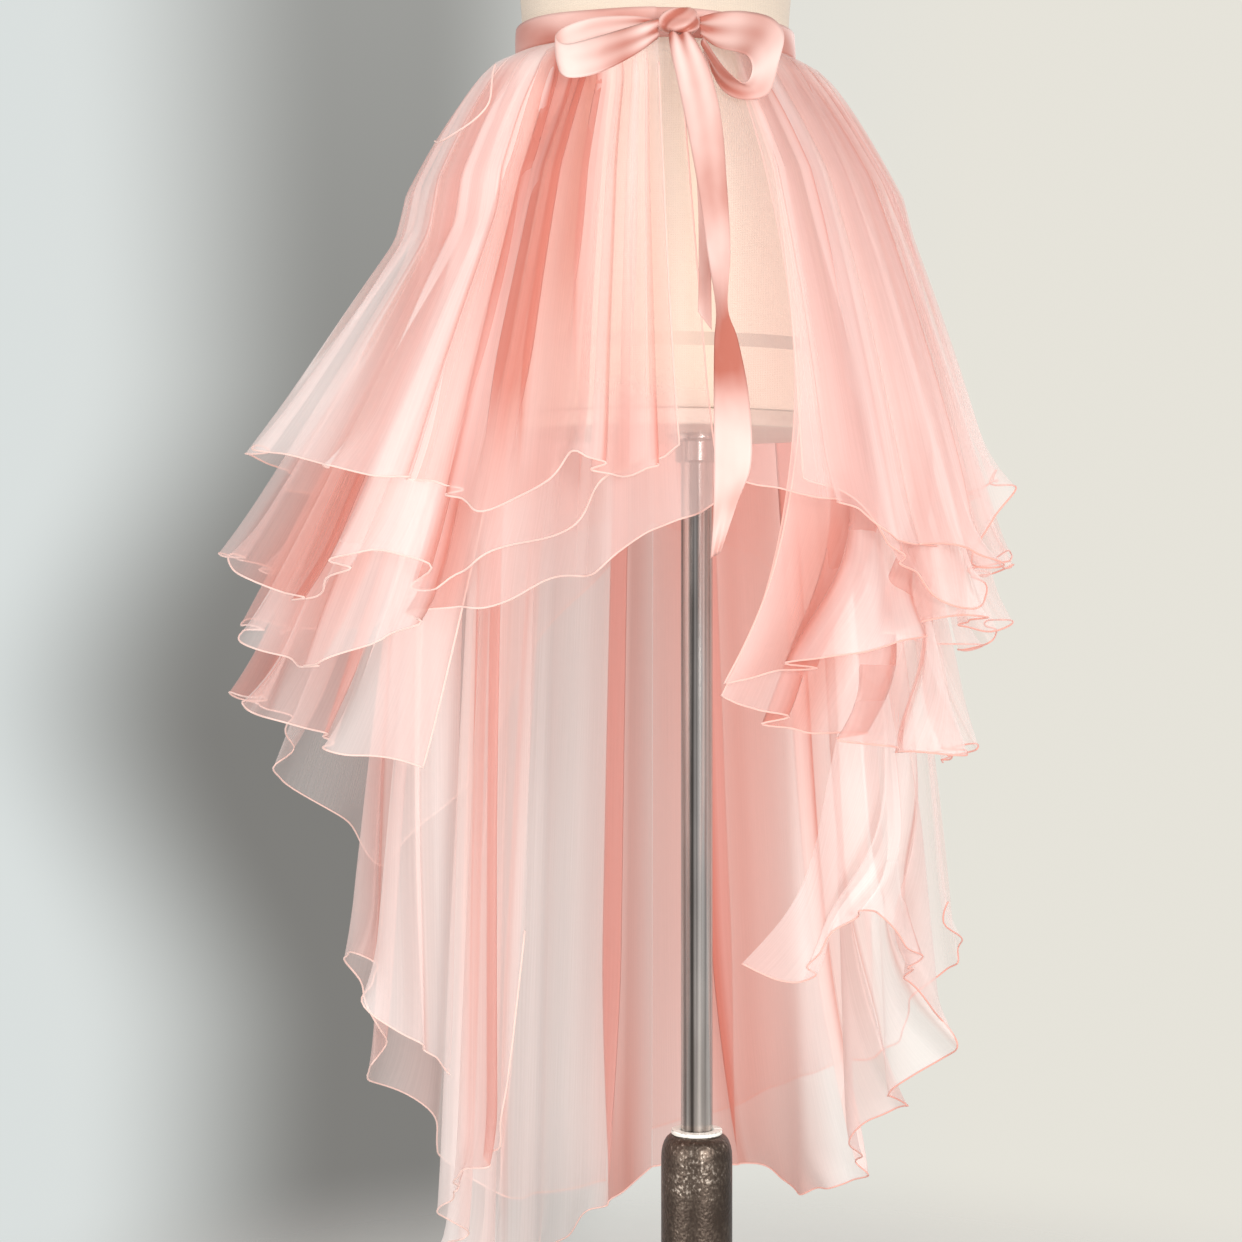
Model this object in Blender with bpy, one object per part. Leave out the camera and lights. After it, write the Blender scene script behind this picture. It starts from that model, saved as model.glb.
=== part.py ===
"""A sheer ruffled overskirt in high-low tiers, tied with a satin bow, on a limbless dress form and its stand.

Metres, +Z up. The origin is the centre of the stand's underside, on the pole's axis, and -Y is the front.
The skirt has its own upright axis. A turn is an angle round it in degrees, from the front towards the side
of the panel it describes, and a drop is a height below the waist line.
"""

import math
from collections import namedtuple

import bpy
import numpy as np

# Driving sizes
WAIST_HEIGHT = 1.216
WAIST_HALF_WIDTH = 0.1185
WAIST_HALF_DEPTH = 0.0845
FORM_TURN = 10.0  # the form and waistband face this far towards +X
SKIRT_AXIS_X = -0.036
SEAM_GAP = 0.0003

BAND_HEIGHT = 0.025
BAND_THICKNESS = 0.0014
CLOTH_THICKNESS = 0.0010
RIBBON_THICKNESS = 0.0010
BACK_SEAM_TURN = 180.0
STATION_TURN = 5.2  # one column of a panel's grid

POLE_RADIUS = 0.014
TUBE_RADIUS = 0.0315
TUBE_SHOULDER_HEIGHT = 0.236
TUBE_SHOULDER_RISE = 0.0195
TUBE_TOP_HEIGHT = 0.2565
COLLAR_RADIUS = 0.0225
COLLAR_TOP_HEIGHT = 0.2605
BASE_RADIUS = 0.180
BASE_HEIGHT = 0.010
PLATE_THICKNESS = 0.014
FORM_BOTTOM_HEIGHT = 0.889
FLANGE_RADIUS = 0.026

# The dress form's level sections, bottom to top
Section = namedtuple("Section", "height half_width half_depth shift_x shift_y")
FORM_SECTIONS = (
    Section(0.889, 0.150, 0.110, -0.018, 0.000),
    Section(0.895, 0.153, 0.113, -0.018, 0.000),
    Section(0.940, 0.155, 0.116, -0.022, 0.002),
    Section(1.010, 0.152, 0.115, -0.027, 0.003),
    Section(1.080, 0.142, 0.105, -0.031, 0.002),
    Section(1.150, 0.1265, 0.0915, -0.034, 0.000),
    Section(1.216, 0.1188, 0.0848, -0.036, 0.000),
    Section(1.290, 0.124, 0.090, -0.036, -0.002),
    Section(1.360, 0.136, 0.104, -0.036, -0.008),
    Section(1.410, 0.141, 0.106, -0.036, -0.009),
    Section(1.460, 0.146, 0.096, -0.036, -0.004),
    Section(1.510, 0.150, 0.080, -0.036, 0.002),
    Section(1.540, 0.132, 0.070, -0.036, 0.006),
    Section(1.562, 0.090, 0.060, -0.036, 0.008),
    Section(1.580, 0.064, 0.054, -0.036, 0.006),
    Section(1.630, 0.056, 0.052, -0.036, 0.002),
)

EXTRA_FORM_LEVELS = (1.178, 1.200, 1.232)

# Deep folds shared by the tiers of one side: how far each crest (+) or trough (-) stands out at the hem
Fold = namedtuple("Fold", "turn out")
TIER_FOLDS_LEFT = (
    Fold(-14, 0.000), Fold(-4, 0.008), Fold(4, -0.010), Fold(11, 0.014), Fold(19, -0.014),
    Fold(28, 0.020), Fold(38, -0.012), Fold(47, 0.018), Fold(57, -0.014), Fold(67, 0.018),
    Fold(77, -0.012), Fold(87, 0.010), Fold(98, -0.018), Fold(110, 0.020), Fold(122, -0.020),
    Fold(134, 0.020), Fold(147, -0.018), Fold(160, 0.018), Fold(172, -0.010), Fold(180, 0.000),
)
TIER_FOLDS_RIGHT = (
    Fold(10, 0.004), Fold(19, -0.004), Fold(28, -0.012), Fold(36, 0.016), Fold(45, -0.012),
    Fold(54, 0.016), Fold(63, -0.014), Fold(72, 0.014), Fold(81, -0.008), Fold(89, 0.008),
    Fold(99, -0.016), Fold(110, 0.018), Fold(122, -0.020), Fold(134, 0.020), Fold(147, -0.018),
    Fold(160, 0.018), Fold(172, -0.010), Fold(180, 0.000),
)
TRAIN_FOLDS_LEFT = (
    Fold(38, 0.008), Fold(46, 0.006), Fold(55, -0.010), Fold(65, 0.012), Fold(76, -0.010), Fold(87, 0.012),
    Fold(98, -0.014), Fold(109, 0.016), Fold(120, -0.018), Fold(131, 0.018), Fold(142, -0.020),
    Fold(154, 0.018), Fold(163, 0.004), Fold(173, -0.018), Fold(180, 0.000),
)
TRAIN_FOLDS_RIGHT = (
    Fold(24, 0.000), Fold(36, 0.010), Fold(48, -0.010), Fold(60, 0.012), Fold(72, -0.010),
    Fold(83, 0.012), Fold(94, -0.012), Fold(105, 0.014), Fold(116, -0.014), Fold(127, 0.016),
    Fold(138, -0.014), Fold(150, 0.006), Fold(160, -0.006), Fold(170, 0.006), Fold(180, 0.000),
)

# How full each side's bell is: 1 falls in a straight line from waist to hem, less swells out at the hip
Swell = namedtuple("Swell", "turn power")
TIER_SWELL = {
    -1: (Swell(-20, 0.75), Swell(20, 0.85), Swell(55, 1.08), Swell(100, 1.10), Swell(180, 0.75)),
    1: (Swell(0, 0.75), Swell(40, 0.68), Swell(90, 0.66), Swell(180, 0.75)),
}
TRAIN_SWELL = {
    -1: (Swell(40, 0.45), Swell(180, 0.55)),
    1: (Swell(20, 0.45), Swell(180, 0.55)),
}

# Each panel's hem from its front edge to its back edge: a row for each rise and fall
Hem = namedtuple("Hem", "turn drop reach")
Panel = namedtuple("Panel", "name side tier waist_front waist_back swing hem")
OVERLAY_LEFT = Panel("overlay_left", -1, 0, 0, 180, 1.0, (
    Hem(-4, 0.367, 0.205), Hem(8, 0.392, 0.210), Hem(17, 0.377, 0.232), Hem(28, 0.418, 0.262),
    Hem(39, 0.396, 0.290), Hem(48, 0.390, 0.320), Hem(67, 0.366, 0.340), Hem(88, 0.362, 0.351),
    Hem(112, 0.385, 0.342), Hem(140, 0.383, 0.325), Hem(180, 0.350, 0.300),
))
OVERLAY_RIGHT = Panel("overlay_right", 1, 0, 17, 180, 1.0, (
    Hem(15, 0.396, 0.195), Hem(24, 0.404, 0.206), Hem(32, 0.416, 0.222), Hem(37, 0.437, 0.238),
    Hem(45, 0.443, 0.268), Hem(53, 0.449, 0.284), Hem(59, 0.470, 0.288), Hem(64, 0.450, 0.282),
    Hem(72, 0.402, 0.278), Hem(82, 0.385, 0.272), Hem(100, 0.392, 0.278), Hem(135, 0.388, 0.300),
    Hem(180, 0.350, 0.300),
))
SECOND_LEFT = Panel("second_flounce_left", -1, 1, 5, 180, 1.0, (
    Hem(3, 0.372, 0.190), Hem(12, 0.395, 0.205), Hem(19, 0.430, 0.216), Hem(26, 0.452, 0.248),
    Hem(33, 0.470, 0.275), Hem(37, 0.483, 0.294), Hem(40, 0.460, 0.306), Hem(45, 0.457, 0.318),
    Hem(52, 0.480, 0.334), Hem(59, 0.486, 0.346), Hem(67, 0.465, 0.358), Hem(86, 0.450, 0.373),
    Hem(105, 0.462, 0.362), Hem(135, 0.440, 0.338), Hem(180, 0.368, 0.305),
))
SECOND_RIGHT = Panel("second_flounce_right", 1, 1, 35, 180, 0.8, (
    Hem(28, 0.392, 0.205), Hem(35, 0.412, 0.226), Hem(41, 0.455, 0.252), Hem(46, 0.478, 0.272),
    Hem(52, 0.495, 0.281), Hem(58, 0.486, 0.290), Hem(64, 0.468, 0.294), Hem(76, 0.452, 0.298),
    Hem(87, 0.460, 0.303), Hem(100, 0.466, 0.304), Hem(135, 0.440, 0.312), Hem(180, 0.368, 0.305),
))
THIRD_LEFT = Panel("third_flounce_left", -1, 2, -10, 180, 1.0, (
    Hem(-14, 0.409, 0.190), Hem(-5, 0.425, 0.194), Hem(5, 0.440, 0.198), Hem(13, 0.466, 0.208),
    Hem(21, 0.476, 0.224), Hem(27, 0.493, 0.252), Hem(36, 0.500, 0.302), Hem(40, 0.516, 0.320),
    Hem(46, 0.534, 0.336), Hem(56, 0.540, 0.348), Hem(67, 0.524, 0.352), Hem(90, 0.508, 0.354),
    Hem(110, 0.518, 0.344), Hem(135, 0.490, 0.330), Hem(155, 0.435, 0.315), Hem(180, 0.386, 0.305),
))
THIRD_RIGHT = Panel("third_flounce_right", 1, 2, 34, 180, 3.5, (
    Hem(11, 0.554, 0.250), Hem(19, 0.548, 0.260), Hem(30, 0.534, 0.272), Hem(38, 0.523, 0.282),
    Hem(46, 0.508, 0.290), Hem(56, 0.500, 0.294), Hem(67, 0.515, 0.295), Hem(80, 0.506, 0.294),
    Hem(90, 0.524, 0.290), Hem(110, 0.532, 0.294), Hem(135, 0.492, 0.302), Hem(155, 0.435, 0.305),
    Hem(180, 0.386, 0.305),
))
SIDE_LEFT = Panel("side_flounce_left", -1, 3, 31, 180, 1.0, (
    Hem(38, 0.620, 0.312), Hem(43, 0.612, 0.318), Hem(50, 0.609, 0.325), Hem(62, 0.591, 0.334),
    Hem(74, 0.573, 0.348), Hem(86, 0.573, 0.362), Hem(97, 0.592, 0.346), Hem(106, 0.628, 0.340),
    Hem(112, 0.658, 0.360), Hem(119, 0.695, 0.350), Hem(128, 0.745, 0.336), Hem(140, 0.690, 0.316),
    Hem(158, 0.530, 0.297), Hem(180, 0.404, 0.290),
))
SIDE_RIGHT = Panel("side_flounce_right", 1, 3, 34, 180, 3.5, (
    Hem(11, 0.565, 0.240), Hem(18, 0.580, 0.254), Hem(26, 0.594, 0.272), Hem(33, 0.601, 0.282),
    Hem(47, 0.611, 0.284), Hem(62, 0.611, 0.278), Hem(75, 0.618, 0.266), Hem(90, 0.628, 0.260),
    Hem(110, 0.632, 0.266), Hem(128, 0.605, 0.276), Hem(144, 0.530, 0.284), Hem(158, 0.450, 0.290),
    Hem(180, 0.404, 0.290),
))
TRAIN_SIDE_LEFT = Panel("train_side_left", -1, 4, 62, 168, 1.0, (
    Hem(47, 0.876, 0.226), Hem(55, 0.864, 0.236), Hem(62, 0.842, 0.246), Hem(70, 0.815, 0.252),
    Hem(80, 0.797, 0.257), Hem(90, 0.815, 0.260), Hem(99, 0.880, 0.258), Hem(107, 0.925, 0.260),
    Hem(116, 0.950, 0.258), Hem(126, 1.000, 0.250), Hem(138, 1.052, 0.244), Hem(155, 1.072, 0.243),
    Hem(169, 1.060, 0.245),
))
TRAIN_SIDE_RIGHT = Panel("train_side_right", 1, 4, 90, 180, 1.0, (
    Hem(92, 0.757, 0.266), Hem(100, 0.799, 0.268), Hem(108, 0.832, 0.266), Hem(120, 0.885, 0.272),
    Hem(130, 0.923, 0.278), Hem(146, 0.952, 0.286), Hem(166, 1.000, 0.290), Hem(180, 1.020, 0.290),
))
TRAIN_BACK_LEFT = Panel("train_back_left", -1, 5, 45, 180, 1.0, (
    Hem(38, 0.760, 0.170), Hem(43, 0.872, 0.171), Hem(52, 0.944, 0.173), Hem(64, 0.977, 0.176),
    Hem(84, 1.018, 0.180), Hem(107, 1.074, 0.184), Hem(133, 1.118, 0.196), Hem(158, 1.110, 0.216),
    Hem(170, 1.077, 0.243), Hem(180, 1.052, 0.262),
))
TRAIN_BACK_RIGHT = Panel("train_back_right", 1, 5, 55, 180, 6.5, (
    Hem(24, 0.786, 0.165), Hem(35, 0.800, 0.185), Hem(45, 0.764, 0.204), Hem(54, 0.748, 0.218),
    Hem(63, 0.792, 0.225), Hem(75, 0.822, 0.234), Hem(84, 0.880, 0.238), Hem(98, 0.937, 0.214),
    Hem(110, 0.965, 0.202), Hem(120, 1.010, 0.217), Hem(131, 1.043, 0.228), Hem(144, 1.061, 0.244),
    Hem(158, 1.049, 0.266), Hem(170, 1.049, 0.272), Hem(180, 1.052, 0.262),
))
PANELS = {
    -1: (OVERLAY_LEFT, SECOND_LEFT, THIRD_LEFT, SIDE_LEFT, TRAIN_SIDE_LEFT, TRAIN_BACK_LEFT),
    1: (OVERLAY_RIGHT, SECOND_RIGHT, THIRD_RIGHT, SIDE_RIGHT, TRAIN_SIDE_RIGHT, TRAIN_BACK_RIGHT),
}
TIER_PITCH = 0.0016  # between one tier and the next at the waist
TIER_CLEARANCE = 0.0095  # and where they hang free
CLEARANCE_DROP = 0.12  # drop at which they hang free
FORM_PITCH = 0.0011  # between the form and the innermost tier at the waist
FORM_CLEARANCE = 0.009
TRAIN_TIERS = (4, 5)
CLOTH_TOP = BAND_HEIGHT / 2 + 3 * SEAM_GAP
DROP_STATIONS = (CLOTH_TOP, 0.070, 0.170, 0.290, 0.420, 0.620)  # rows that nested tiers share
HEM_ROW = 0.012  # the least drop between a panel's rows
EDGE_FADE_TURN = 15.0
DROPPED_AWAY = 0.050

# Stations along the ribbons: the two edges of the ribbon at each
Ribbon = namedtuple("Ribbon", "ax ay az bx by bz")
LOOP_LEFT = (
    Ribbon(-0.0360, -0.1060, 1.2150, -0.0365, -0.1080, 1.1975),
    Ribbon(-0.0580, -0.1150, 1.2060, -0.0570, -0.1240, 1.1790),
    Ribbon(-0.0880, -0.1230, 1.1950, -0.0870, -0.1340, 1.1620),
    Ribbon(-0.1120, -0.1280, 1.1880, -0.1100, -0.1370, 1.1580),
    Ribbon(-0.1215, -0.1225, 1.1950, -0.1185, -0.1300, 1.1670),
    Ribbon(-0.1140, -0.1130, 1.2060, -0.1120, -0.1210, 1.1790),
    Ribbon(-0.0900, -0.1070, 1.2155, -0.0890, -0.1160, 1.1890),
    Ribbon(-0.0600, -0.1040, 1.2180, -0.0590, -0.1110, 1.1960),
    Ribbon(-0.0360, -0.1010, 1.2170, -0.0360, -0.1025, 1.2030),
)
LOOP_RIGHT = (
    Ribbon(-0.0010, -0.1000, 1.2180, -0.0010, -0.1085, 1.2010),
    Ribbon(0.0162, -0.1020, 1.2215, 0.0120, -0.1200, 1.1880),
    Ribbon(0.0370, -0.1040, 1.2215, 0.0280, -0.1310, 1.1810),
    Ribbon(0.0590, -0.1080, 1.2150, 0.0370, -0.1370, 1.1760),
    Ribbon(0.0690, -0.1150, 1.1990, 0.0410, -0.1400, 1.1670),
    Ribbon(0.0640, -0.1260, 1.1740, 0.0390, -0.1440, 1.1560),
    Ribbon(0.0545, -0.1360, 1.1450, 0.0325, -0.1480, 1.1510),
    Ribbon(0.0330, -0.1400, 1.1390, 0.0220, -0.1470, 1.1590),
    Ribbon(0.0150, -0.1330, 1.1500, 0.0130, -0.1370, 1.1720),
    Ribbon(0.0000, -0.1150, 1.1840, 0.0000, -0.1200, 1.1960),
)
TAIL_FRONT = (
    Ribbon(-0.0270, -0.1095, 1.2012, -0.0095, -0.1095, 1.2014),
    Ribbon(-0.0255, -0.1180, 1.1840, -0.0030, -0.1190, 1.1900),
    Ribbon(-0.0200, -0.1300, 1.1550, 0.0070, -0.1310, 1.1640),
    Ribbon(-0.0120, -0.1470, 1.1100, 0.0155, -0.1480, 1.1200),
    Ribbon(-0.0040, -0.1640, 1.0600, 0.0190, -0.1650, 1.0640),
    Ribbon(0.0030, -0.1800, 1.0050, 0.0210, -0.1830, 1.0080),
    Ribbon(0.0090, -0.1940, 0.9600, 0.0180, -0.2020, 0.9600),
    Ribbon(0.0070, -0.2060, 0.9300, 0.0260, -0.2080, 0.9320),
    Ribbon(0.0060, -0.2210, 0.8800, 0.0340, -0.2210, 0.8840),
    Ribbon(0.0060, -0.2290, 0.8300, 0.0350, -0.2290, 0.8340),
    Ribbon(0.0050, -0.2310, 0.7880, 0.0240, -0.2310, 0.8020),
    Ribbon(0.0030, -0.2310, 0.7590, 0.0110, -0.2310, 0.7640),
)
TAIL_BACK = (
    Ribbon(-0.0230, -0.1060, 1.2014, -0.0110, -0.1060, 1.2014),
    Ribbon(-0.0150, -0.1180, 1.1700, 0.0005, -0.1200, 1.1700),
    Ribbon(-0.0080, -0.1360, 1.1200, 0.0025, -0.1410, 1.1200),
    Ribbon(-0.0040, -0.1530, 1.0500, 0.0060, -0.1560, 1.0500),
    Ribbon(-0.0040, -0.1700, 0.9900, 0.0060, -0.1720, 0.9900),
    Ribbon(-0.0050, -0.1800, 0.9500, 0.0060, -0.1810, 0.9500),
)

# The knot, the stand's smaller sizes and the neck cap
KNOT_HALF_WIDTH = 0.0175
KNOT_HALF_DEPTH = 0.0124
KNOT_HALF_HEIGHT = 0.0115
KNOT_CENTRE = (-0.0185, -0.1020, 1.2130)
KNOT_LEAN = 0.5  # how far its lower half stands forward, for each metre down
KNOT_CORNER = 0.8  # under 1 is squarer than round
BASE_CHAMFER = 0.004
BORE_RADIUS = POLE_RADIUS + 0.0008
BORE_DEPTH = 0.196
FLANGE_THICKNESS = 0.005
SOCKET_RADIUS = POLE_RADIUS + 0.005  # the short socket under the flange
SOCKET_HEIGHT = 0.017
CAP_HALF_WIDTH = 0.060
CAP_HALF_DEPTH = 0.056
CAP_HEIGHT = 0.016
CAP_CHAMFER_HEIGHT = 0.006
CAP_CHAMFER_WIDTH = 0.010

# Colours
ORGANZA = (0.93, 0.66, 0.62, 1.0)
SATIN = (0.90, 0.62, 0.58, 1.0)
LINEN = (0.88, 0.82, 0.68, 1.0)
BOARD = (0.55, 0.42, 0.28, 1.0)
STEEL = (0.55, 0.54, 0.53, 1.0)
BRONZE = (0.20, 0.16, 0.14, 1.0)
IVORY_PLASTIC = (0.85, 0.83, 0.76, 1.0)


def curve_through(rows, column, at):
    """A smooth curve through one column of a table whose first column is the place; level past both ends."""
    places = np.array([row[0] for row in rows], float)
    values = np.array([getattr(row, column) for row in rows], float)
    slopes = np.gradient(values, places)
    at = np.clip(at, places[0], places[-1])
    row = np.clip(np.searchsorted(places, at, side="right") - 1, 0, len(places) - 2)
    span = places[row + 1] - places[row]
    s = (at - places[row]) / span
    return (
        (1 + 2 * s) * (1 - s) ** 2 * values[row]
        + s * (1 - s) ** 2 * span * slopes[row]
        + s * s * (3 - 2 * s) * values[row + 1]
        + s * s * (s - 1) * span * slopes[row + 1]
    )


def oval_reach(turn, half_width, half_depth):
    """The radius of an oval turned to face FORM_TURN, towards a turn measured from the front to +X."""
    angle = np.radians(turn - FORM_TURN)
    return half_width * half_depth / np.hypot(half_depth * np.sin(angle), half_width * np.cos(angle))


def form_reach(turn, drop):
    """The dress form's own radius about the skirt's axis."""
    height = WAIST_HEIGHT - drop
    half_width = curve_through(FORM_SECTIONS, "half_width", height)
    half_depth = curve_through(FORM_SECTIONS, "half_depth", height)
    shift_x = curve_through(FORM_SECTIONS, "shift_x", height) - SKIRT_AXIS_X
    shift_y = curve_through(FORM_SECTIONS, "shift_y", height)
    angle = np.radians(turn)
    return oval_reach(turn, half_width, half_depth) + shift_x * np.sin(angle) - shift_y * np.cos(angle)


def own_reach(panel, turn, drop):
    """Where a panel would hang with nothing under it: a bell from the waist to its hem, with its folds."""
    is_train = panel.tier in TRAIN_TIERS
    swell = (TRAIN_SWELL if is_train else TIER_SWELL)[panel.side]
    if panel.side < 0:
        folds = TRAIN_FOLDS_LEFT if is_train else TIER_FOLDS_LEFT
    else:
        folds = TRAIN_FOLDS_RIGHT if is_train else TIER_FOLDS_RIGHT
    hem_drop = curve_through(panel.hem, "drop", turn)
    hem_reach = curve_through(panel.hem, "reach", turn)
    fall = np.clip((drop - CLOTH_TOP) / (hem_drop - CLOTH_TOP), 0.0, 1.15)
    waist = oval_reach(turn * panel.side, WAIST_HALF_WIDTH, WAIST_HALF_DEPTH)
    waist = waist + TIER_PITCH * (len(PANELS[panel.side]) - panel.tier)
    power = curve_through(swell, "power", turn)
    fold = curve_through(folds, "out", turn) * fall**1.3
    return waist + (hem_reach - waist) * fall**power + fold


def presence(panel, turn):
    """1 where the panel hangs, falling smoothly to 0 a little past its front and back edges."""
    front = min(panel.waist_front, panel.hem[0].turn)
    back = max(panel.waist_back, panel.hem[-1].turn)
    share = np.clip(1 + np.minimum(turn - front, back - turn) / EDGE_FADE_TURN, 0.0, 1.0)
    return share * share * (3 - 2 * share)


def laid_reach(panel, turn, drop):
    """Where the panel hangs on the tiers beneath it, or on the form: never nearer than its clearance."""
    tiers = PANELS[panel.side]
    ease = np.clip((drop - CLOTH_TOP) / CLEARANCE_DROP, 0.0, 1.0)
    if panel.tier + 1 < len(tiers):
        next_tier = tiers[panel.tier + 1]
        clearance = TIER_PITCH + (TIER_CLEARANCE - TIER_PITCH) * ease * presence(next_tier, turn)
        under = laid_reach(next_tier, turn, drop) + clearance
    else:
        is_beside_form = drop < WAIST_HEIGHT - FORM_BOTTOM_HEIGHT + 0.03
        clearance = FORM_PITCH + (FORM_CLEARANCE - FORM_PITCH) * ease
        under = np.where(is_beside_form, form_reach(turn * panel.side, drop) + clearance, 0.0)
    own = own_reach(panel, turn, drop) - DROPPED_AWAY * (1 - presence(panel, turn)) * ease
    rounding = 0.3 * clearance * ease
    return (own + under + np.sqrt((own - under) ** 2 + rounding**2)) / 2


def panel_points(panel, columns):
    """The panel's grid of points, row by row from the waist down: shared levels, and the hem last."""
    along = np.linspace(0.0, 1.0, columns + 1)[None, :]
    hem_turn = panel.hem[0].turn + (panel.hem[-1].turn - panel.hem[0].turn) * along
    waist_turn = panel.waist_front + (panel.waist_back - panel.waist_front) * along
    hem_drop = curve_through(panel.hem, "drop", hem_turn)
    levels = np.array([station for station in DROP_STATIONS if station < np.median(hem_drop)])[:, None]
    rows_below = np.arange(len(levels), 0, -1)[:, None]
    drop = np.concatenate([np.minimum(levels, hem_drop - HEM_ROW * rows_below), hem_drop])
    down = (drop - CLOTH_TOP) / (hem_drop - CLOTH_TOP)
    turn = waist_turn + (hem_turn - waist_turn) * down**panel.swing
    reach = laid_reach(panel, turn, drop)
    half_seam = np.degrees(SEAM_GAP / 2 / reach + CLOTH_THICKNESS / 8 / reach)
    angle = np.radians(np.minimum(turn, BACK_SEAM_TURN - half_seam)) * panel.side
    x = SKIRT_AXIS_X + reach * np.sin(angle)
    y = -reach * np.cos(angle)
    z = WAIST_HEIGHT - drop
    return np.stack([x, y, z], axis=-1)


def material(name, colour, roughness, metallic=0.0):
    made = bpy.data.materials.new(name)
    made.use_nodes = True
    shader = made.node_tree.nodes["Principled BSDF"]
    shader.inputs["Base Color"].default_value = colour
    shader.inputs["Roughness"].default_value = roughness
    shader.inputs["Metallic"].default_value = metallic
    return made


def new_object(name, points, faces, finish):
    mesh = bpy.data.meshes.new(name)
    mesh.from_pydata([tuple(map(float, point)) for point in points], [], faces)
    mesh.materials.append(finish)
    mesh.shade_smooth()
    mesh.set_sharp_from_angle(angle=math.radians(40))
    made = bpy.data.objects.new(name, mesh)
    bpy.context.collection.objects.link(made)
    return made


def grid_faces(rows, columns, closed=False):
    """Four-sided faces between the rows of a grid whose points are listed row by row."""
    wide = columns if closed else columns + 1
    faces = []
    for row in range(rows):
        here = row * wide
        below = here + wide
        for column in range(columns):
            right = (column + 1) % wide
            faces.append((here + column, below + column, below + right, here + right))
    return faces


def capped_faces(rings, count):
    """The faces of a closed solid made of rings listed top to bottom."""
    faces = grid_faces(rings - 1, count, closed=True)
    faces.append(tuple(range(count)))
    last = (rings - 1) * count
    faces.append(tuple(reversed(range(last, last + count))))
    return faces


def thicken(made, thickness):
    """Gives a sheet its wall, half to each side."""
    wall = made.modifiers.new("Wall", "SOLIDIFY")
    wall.thickness = thickness
    wall.offset = 0.0
    wall.use_even_offset = True


def cloth_panel(panel, finish):
    columns = round((panel.waist_back - panel.waist_front) / STATION_TURN)
    points = panel_points(panel, columns)
    rows = len(points) - 1
    made = new_object(panel.name, points.reshape(-1, 3), grid_faces(rows, columns), finish)
    thicken(made, CLOTH_THICKNESS)


def ribbon_strip(name, rows, finish, steps=2, across=2):
    """A ribbon between its two edges, each a smooth curve through the stations."""
    stations = np.linspace(0, len(rows) - 1, (len(rows) - 1) * steps + 1)
    Place = namedtuple("Place", ("place",) + Ribbon._fields)
    table = [Place(index, *row) for index, row in enumerate(rows)]
    first = np.stack([curve_through(table, axis, stations) for axis in ("ax", "ay", "az")], axis=-1)
    second = np.stack([curve_through(table, axis, stations) for axis in ("bx", "by", "bz")], axis=-1)
    shares = np.linspace(0.0, 1.0, across + 1)
    points = [a + (b - a) * share for a, b in zip(first, second) for share in shares]
    made = new_object(name, points, grid_faces(len(stations) - 1, across), finish)
    thicken(made, RIBBON_THICKNESS)


def oval_points(section, count):
    """Points round one level oval section that faces FORM_TURN."""
    points = []
    facing = math.radians(FORM_TURN)
    for index in range(count):
        angle = math.tau * index / count
        x = section.half_width * math.cos(angle)
        y = section.half_depth * math.sin(angle)
        points.append((
            section.shift_x + x * math.cos(facing) - y * math.sin(facing),
            section.shift_y + x * math.sin(facing) + y * math.cos(facing),
            section.height,
        ))
    return points


def form_levels():
    """The form's sections, with a few more between them round the waist, where the skirt sits."""
    heights = sorted([section.height for section in FORM_SECTIONS] + list(EXTRA_FORM_LEVELS))
    columns = Section._fields[1:]
    return [Section(height, *(float(curve_through(FORM_SECTIONS, column, height)) for column in columns))
            for height in heights]


def lofted(name, sections, finish, count=32):
    """A closed solid through level sections, bottom to top."""
    points = [point for section in reversed(sections) for point in oval_points(section, count)]
    return new_object(name, points, capped_faces(len(sections), count), finish)


def waistband(finish):
    """A ribbon band round the waist, open inside."""
    count = 48
    grow = BAND_THICKNESS / 2 + TIER_PITCH * 3
    heights = (WAIST_HEIGHT + BAND_HEIGHT / 2, WAIST_HEIGHT - BAND_HEIGHT / 2)
    points = []
    for height in heights:
        ring = Section(height, WAIST_HALF_WIDTH + grow, WAIST_HALF_DEPTH + grow, SKIRT_AXIS_X, 0.0)
        points += oval_points(ring, count)
    made = new_object("waistband", points, grid_faces(len(heights) - 1, count, closed=True), finish)
    thicken(made, BAND_THICKNESS)


def turned(name, outline, finish, is_ring=False, count=32):
    """A round piece about the pole's axis, from (radius, height) corners listed down its outside.

    Its first and last corners are capped, unless the outline closes on itself as a ring.
    """
    points = []
    for radius, height in outline:
        for index in range(count):
            angle = math.tau * index / count
            points.append((radius * math.cos(angle), radius * math.sin(angle), height))
    if not is_ring:
        return new_object(name, points, capped_faces(len(outline), count), finish)
    faces = grid_faces(len(outline) - 1, count, closed=True)
    last = (len(outline) - 1) * count
    for index in range(count):
        right = (index + 1) % count
        faces.append((last + index, index, right, last + right))
    return new_object(name, points, faces, finish)


def stand_base(bronze):
    turned("stand_base", (
        (BASE_RADIUS - 2 * BASE_CHAMFER, BASE_HEIGHT), (BASE_RADIUS, BASE_HEIGHT - BASE_CHAMFER),
        (BASE_RADIUS, 0.0),
    ), bronze, count=48)


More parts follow.
